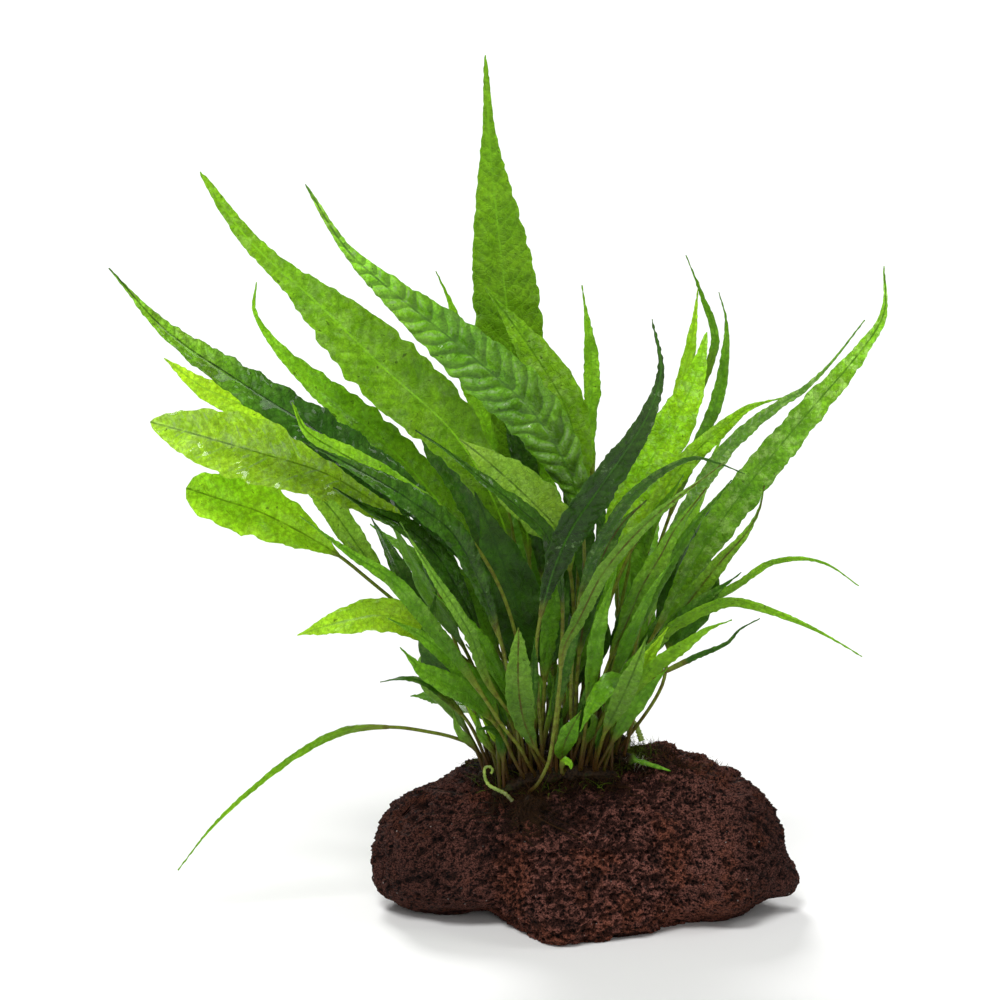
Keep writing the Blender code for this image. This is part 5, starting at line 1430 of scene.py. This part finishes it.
def build_roots(lines, material):
    """Wiry roots that run from the rhizomes down over the stone."""
    draw = np.random.default_rng(SEEDS["roots"])
    count, rows = ROOT_COUNT, ROOT_ROWS
    names = list(lines)
    starts = []
    for number in range(count):
        line = lines[names[number % len(names)]]
        x = draw.uniform(line[0, 0], line[-1, 0])
        starts.append(line_at(line, x)[:3])
    ways = unit(np.array(starts) - HEART)
    turns = np.arctan2(ways[:, 1], ways[:, 0])
    tilts = np.arcsin(ways[:, 2])
    share = np.linspace(0.0, 1.0, rows)[None, :]
    fall = draw.uniform(*ROOT_FALL, count)[:, None] * share
    drift = draw.normal(size=count)[:, None] * ROOT_DRIFT * share
    beat = share * draw.uniform(5.0, 16.0, count)[:, None]
    wander = 0.06 * np.sin(beat + draw.uniform(0, 6, count)[:, None])
    all_ways = ways_of((turns[:, None] + drift + wander).ravel(), (tilts[:, None] - fall).ravel())
    reach = surface_along(HEART, all_ways) + ROOT_LIFT
    paths = (HEART + all_ways * reach[:, None]).reshape(count, rows, 3)
    paths[:, 0] = starts
    radii = draw.uniform(*ROOT_RADIUS, count)[:, None] * (1.0 - 0.6 * share)
    corners, faces = tubes(paths, radii, 4)
    light = np.repeat(draw.uniform(0.0, 0.7, count), rows * 4)
    piece("roots", corners, faces, material, (), {"light": light})


def on_stone(across, up, spread, count, seed):
    """Random points of the stone about a place in the front view, and its outward directions there."""
    draw = np.random.default_rng(seed)
    wide, tall = spread
    spots = draw.normal(size=(count, 2)).clip(-2.0, 2.0) / 2.0
    points = stone_at(across + wide * spots[:, 0], up + tall * spots[:, 1])
    points = points[np.abs(stone_field(points)) < 0.5]
    return points, stone_normals(points)


def on_crown(count, seed, middle, half):
    """Random points on the top of the stone within an ellipse about a place seen from above."""
    draw = np.random.default_rng(seed)
    turns = draw.uniform(0.0, 2.0 * math.pi, count)
    far = np.sqrt(draw.uniform(0.0, 1.0, count))
    x = middle[0] + half[0] * far * np.cos(turns)
    y = middle[1] + half[1] * far * np.sin(turns)
    points = stone_above(x, y)
    return points, stone_normals(points)


def around_rhizomes(lines, count, seed, out):
    """Random points on the rhizomes' sides and their outward directions."""
    draw = np.random.default_rng(seed)
    names = list(lines)
    bases, ways = [], []
    for number in range(count):
        line = lines[names[number % len(names)]]
        x = draw.uniform(line[0, 0], min(line[-1, 0], 12.0))
        middle = line_at(line, x)
        turn = draw.uniform(-math.pi, math.pi)
        way = np.array([draw.normal() * 0.3, math.cos(turn), math.sin(turn)])
        bases.append(middle[:3] + unit(way) * middle[3] * out)
        ways.append(way)
    return np.array(bases), np.array(ways)


def build_growth(lines, young):
    """Roots, the rhizomes' hairs, moss and brown fibres about the plant's foot."""
    kinds = {kind: fibre_material(kind, *colours) for kind, colours in THREADS.items()}
    build_roots(lines, kinds["root_fibre"])
    bases, ways = around_rhizomes(lines, HAIR_COUNT, 71, 0.9)
    strands("rhizome_hairs", bases, ways, 1.9, 0.08, kinds["root_fibre"], 72, 0.9, 4)
    for name, (count, seed, kind, middle, half, lean, length, radius, bend, rows) in TOP_TUFTS.items():
        bases, ways = on_crown(count, seed, middle, half)
        ways = ways + (0.0, 0.0, lean)
        strands(name, bases, ways, length, radius, kinds[kind], seed + 1, bend, rows)
    for name, (count, seed, strand_seed, place, spread, length) in MOSS_PATCHES.items():
        bases, ways = on_stone(*place, spread, count, seed)
        strands(name, bases, ways, length, 0.09, kinds["moss"], strand_seed, 0.8)
    build_runner(young)
    line = lines["rhizome_middle"]
    draw = np.random.default_rng(SEEDS["tip hairs"])
    x = draw.uniform(10.0, 14.5, TIP_HAIR_COUNT)
    bases = line_at(line, x)[:3].T
    ways = draw.normal(size=(TIP_HAIR_COUNT, 3))
    strands("tip_hairs", bases, ways, 2.0, 0.05, kinds["tip_hair"], 81, 0.3)


def build_runner(material):
    """A pale green runner that lies across the stone in front of the growing tip."""
    across, up = np.array(RUNNER_ROUTE).T
    points = stone_at(across, up)
    points = points + stone_normals(points) * RUNNER_LIFT
    curve, _ = smooth_curve(points)
    shares = np.linspace(0.0, 1.0, RUNNER_ROWS)
    radius = RUNNER_RADIUS * (1.0 - 0.5 * shares)
    corners, faces = tubes(curve(shares)[None], radius[None], RUNNER_SIDES)
    piece("runner", corners, faces, material, (), {"foot": np.zeros(len(corners))})


def sun(name, towards, strength, spread):
    """A soft light from far away, that comes from this direction."""
    lamp = bpy.data.lights.new(name, "SUN")
    lamp.energy = strength
    lamp.angle = math.radians(spread)
    thing = bpy.data.objects.new(name, lamp)
    thing.rotation_euler = Vector(towards).to_track_quat("Z", "Y").to_euler()
    bpy.context.scene.collection.objects.link(thing)


def build_studio():
    """A pale floor, soft lights above, behind and in front, and the camera of the front view."""
    scene = bpy.context.scene
    rim = np.arange(FLOOR_SIDES) * (2.0 * math.pi / FLOOR_SIDES)
    disc = np.stack([np.cos(rim), np.sin(rim), np.zeros(FLOOR_SIDES)], axis=1) * FLOOR_RADIUS
    disc[:, 2] = -FLOOR_DEPTH
    mesh = bpy.data.meshes.new("floor")
    mesh.from_pydata(disc.tolist(), [], [list(range(FLOOR_SIDES))])
    mesh.materials.append(Nodes("floor").finish(FLOOR_COLOUR, 0.9))
    floor = bpy.data.objects.new("floor", mesh)
    scene.collection.objects.link(floor)
    world = bpy.data.worlds.new("studio")
    world.use_nodes = True
    backdrop = world.node_tree.nodes["Background"]
    backdrop.inputs["Color"].default_value = (1.0, 1.0, 1.0, 1.0)
    backdrop.inputs["Strength"].default_value = WORLD_LIGHT
    scene.world = world
    for name, (towards, strength, spread) in SUNS.items():
        sun(name, towards, strength, spread)
    camera = bpy.data.cameras.new("front_view")
    camera.sensor_width = SENSOR
    camera.lens = SENSOR * VIEW_DISTANCE / VIEW_WIDTH
    camera.clip_end = FARTHEST
    thing = bpy.data.objects.new("front_view", camera)
    thing.location = EYE * MM
    thing.rotation_euler = (math.pi / 2.0 - VIEW_RISE, 0.0, 0.0)
    scene.collection.objects.link(thing)
    scene.camera = thing
    scene.view_settings.view_transform = "Standard"


def beyond(points):
    """How far points stand outside the cone that the bush fills, or 1 in the clearing."""
    spread = CONE * (points[:, 2] - CROWN["top"])
    x, y = points[:, 0], points[:, 1]
    sides = (CROWN["left"] - x, x - CROWN["right"], CROWN["front"] - y, y - CROWN["back"])
    low, high, front, top = CLEARING
    blocking = (x > low) & (x < high) & (y < front) & (points[:, 2] < top)
    return 1.0 if blocking.any() else float((np.max(sides, axis=0) - spread).max())


def inner_rows(lines):
    """More leaves inside the bush, each placed where it keeps furthest from the others and fills a gap."""
    draw = np.random.default_rng(SEEDS["inner places"])
    shares = np.linspace(0.12, 1.0, 30)
    standing = []
    for row in LEAVES + SMALL_LEAVES:
        name, rhizome, side, x, _, width, start, peak, slender, _, route = row
        foot, _ = foot_of(lines[rhizome], side, x)
        curve, _ = smooth_curve(np.vstack([foot, fanned(route)]))
        wide = blade_width(shares, width, start, peak, slender)
        standing.append(np.column_stack([curve(shares), KEEP_CLEAR * wide]))
    standing = np.vstack(standing)
    rows = []
    for count, heights, widths, start, names, tones in INNER_LEAVES:
        for _ in range(count):
            best = None
            for _ in range(INNER_TRIES):
                rhizome = names[draw.integers(len(names))]
                line = lines[rhizome]
                side = int(draw.choice((FRONT, BACK)))
                x = draw.uniform(line[0, 0] + 1.0, min(line[-1, 0], INNER_FARTHEST) - 1.0)
                foot, _ = foot_of(line, side, x)
                sideways = (x + 8.0) / 20.0 * draw.uniform(0.1, 0.7)
                lean = np.array([sideways, (foot[1] + 2.0) / 20.0 * 0.4, 1.0])
                lean[:2] += draw.normal(size=2) * 0.1
                out = lean * (1.0, 1.0, 0.0)
                tall = draw.uniform(*heights)
                sway = draw.normal(size=(3, 3)) * (INNER_SWAY * tall) * (1.0, 1.0, 0.0)
                knots = [
                    foot + lean * tall * part + out * tall * bend + swayed * part
                    for swayed, (part, bend) in zip(sway, INNER_ARCH)
                ]
                curve, _ = smooth_curve(np.vstack([foot, knots]))
                width = draw.uniform(*widths)
                points = curve(shares)
                if beyond(points) > 0.0:
                    continue
                apart = points[:, None] - standing[None, :, :3]
                room = (np.linalg.norm(apart, axis=2) - standing[None, :, 3]).min(1)
                seen = (np.hypot(apart[..., 0], apart[..., 2]) - standing[None, :, 3]).min(1)
                score = float(np.quantile(room, ROOM_QUANTILE) - OWN_WIDTH * width)
                score += SEEN_WEIGHT * float(np.quantile(seen, SEEN_QUANTILE))
                if best is None or score > best[0]:
                    tone = tones[draw.integers(len(tones))]
                    begins = start * draw.uniform(0.7, 2.2)
                    form = (width, begins, INNER_PEAK, INNER_SLENDER, draw.uniform(-INNER_ROLL, INNER_ROLL))
                    best = (score, (rhizome, side, x, tone, *form, knots), points)
            if best is not None:
                rows.append((f"inner_leaf_{len(rows) + 1}", *best[1]))
                line = np.column_stack([best[2], np.full(len(shares), OWN_WIDTH * best[1][4])])
                standing = np.vstack([standing, line])
    return rows


def main():
    """The studio, the stone, the rhizomes, the leaves and what grows about their feet."""
    build_studio()
    build_stone()
    bark = bark_material()
    lines = {name: rhizome_line(name) for name in RHIZOMES}
    for name, line in lines.items():
        build_rhizome(name, line, bark)
    materials = {(tone, wet): leaf_material(tone, wet) for tone in TONES for wet in (False, True)}
    for number, row in enumerate(LEAVES):
        build_leaf(row, lines, materials, SEEDS["leaves"] + SEED_STEP * number)
    for number, row in enumerate(SMALL_LEAVES):
        build_leaf(row, lines, materials, SEEDS["small leaves"] + SEED_STEP * number, node=False)
    for number, row in enumerate(inner_rows(lines)):
        seed = SEEDS["inner leaves"] + SEED_STEP * number
        build_leaf(row, lines, materials, seed, node=False, step=INNER_STEP)
    young = young_material()
    build_young("coiled_frond", "fiddlehead", fiddlehead_points(),
                lambda share: FIDDLEHEAD_RADIUS * (0.95 - 0.35 * share), 0.9, young)
    build_young("arching_frond", "arched_frond", from_front(ARCH_ROUTE),
                lambda share: ARCH_RADIUS * (0.8 + 0.5 * share), 0.5, young)
    build_growth(lines, young)


main()
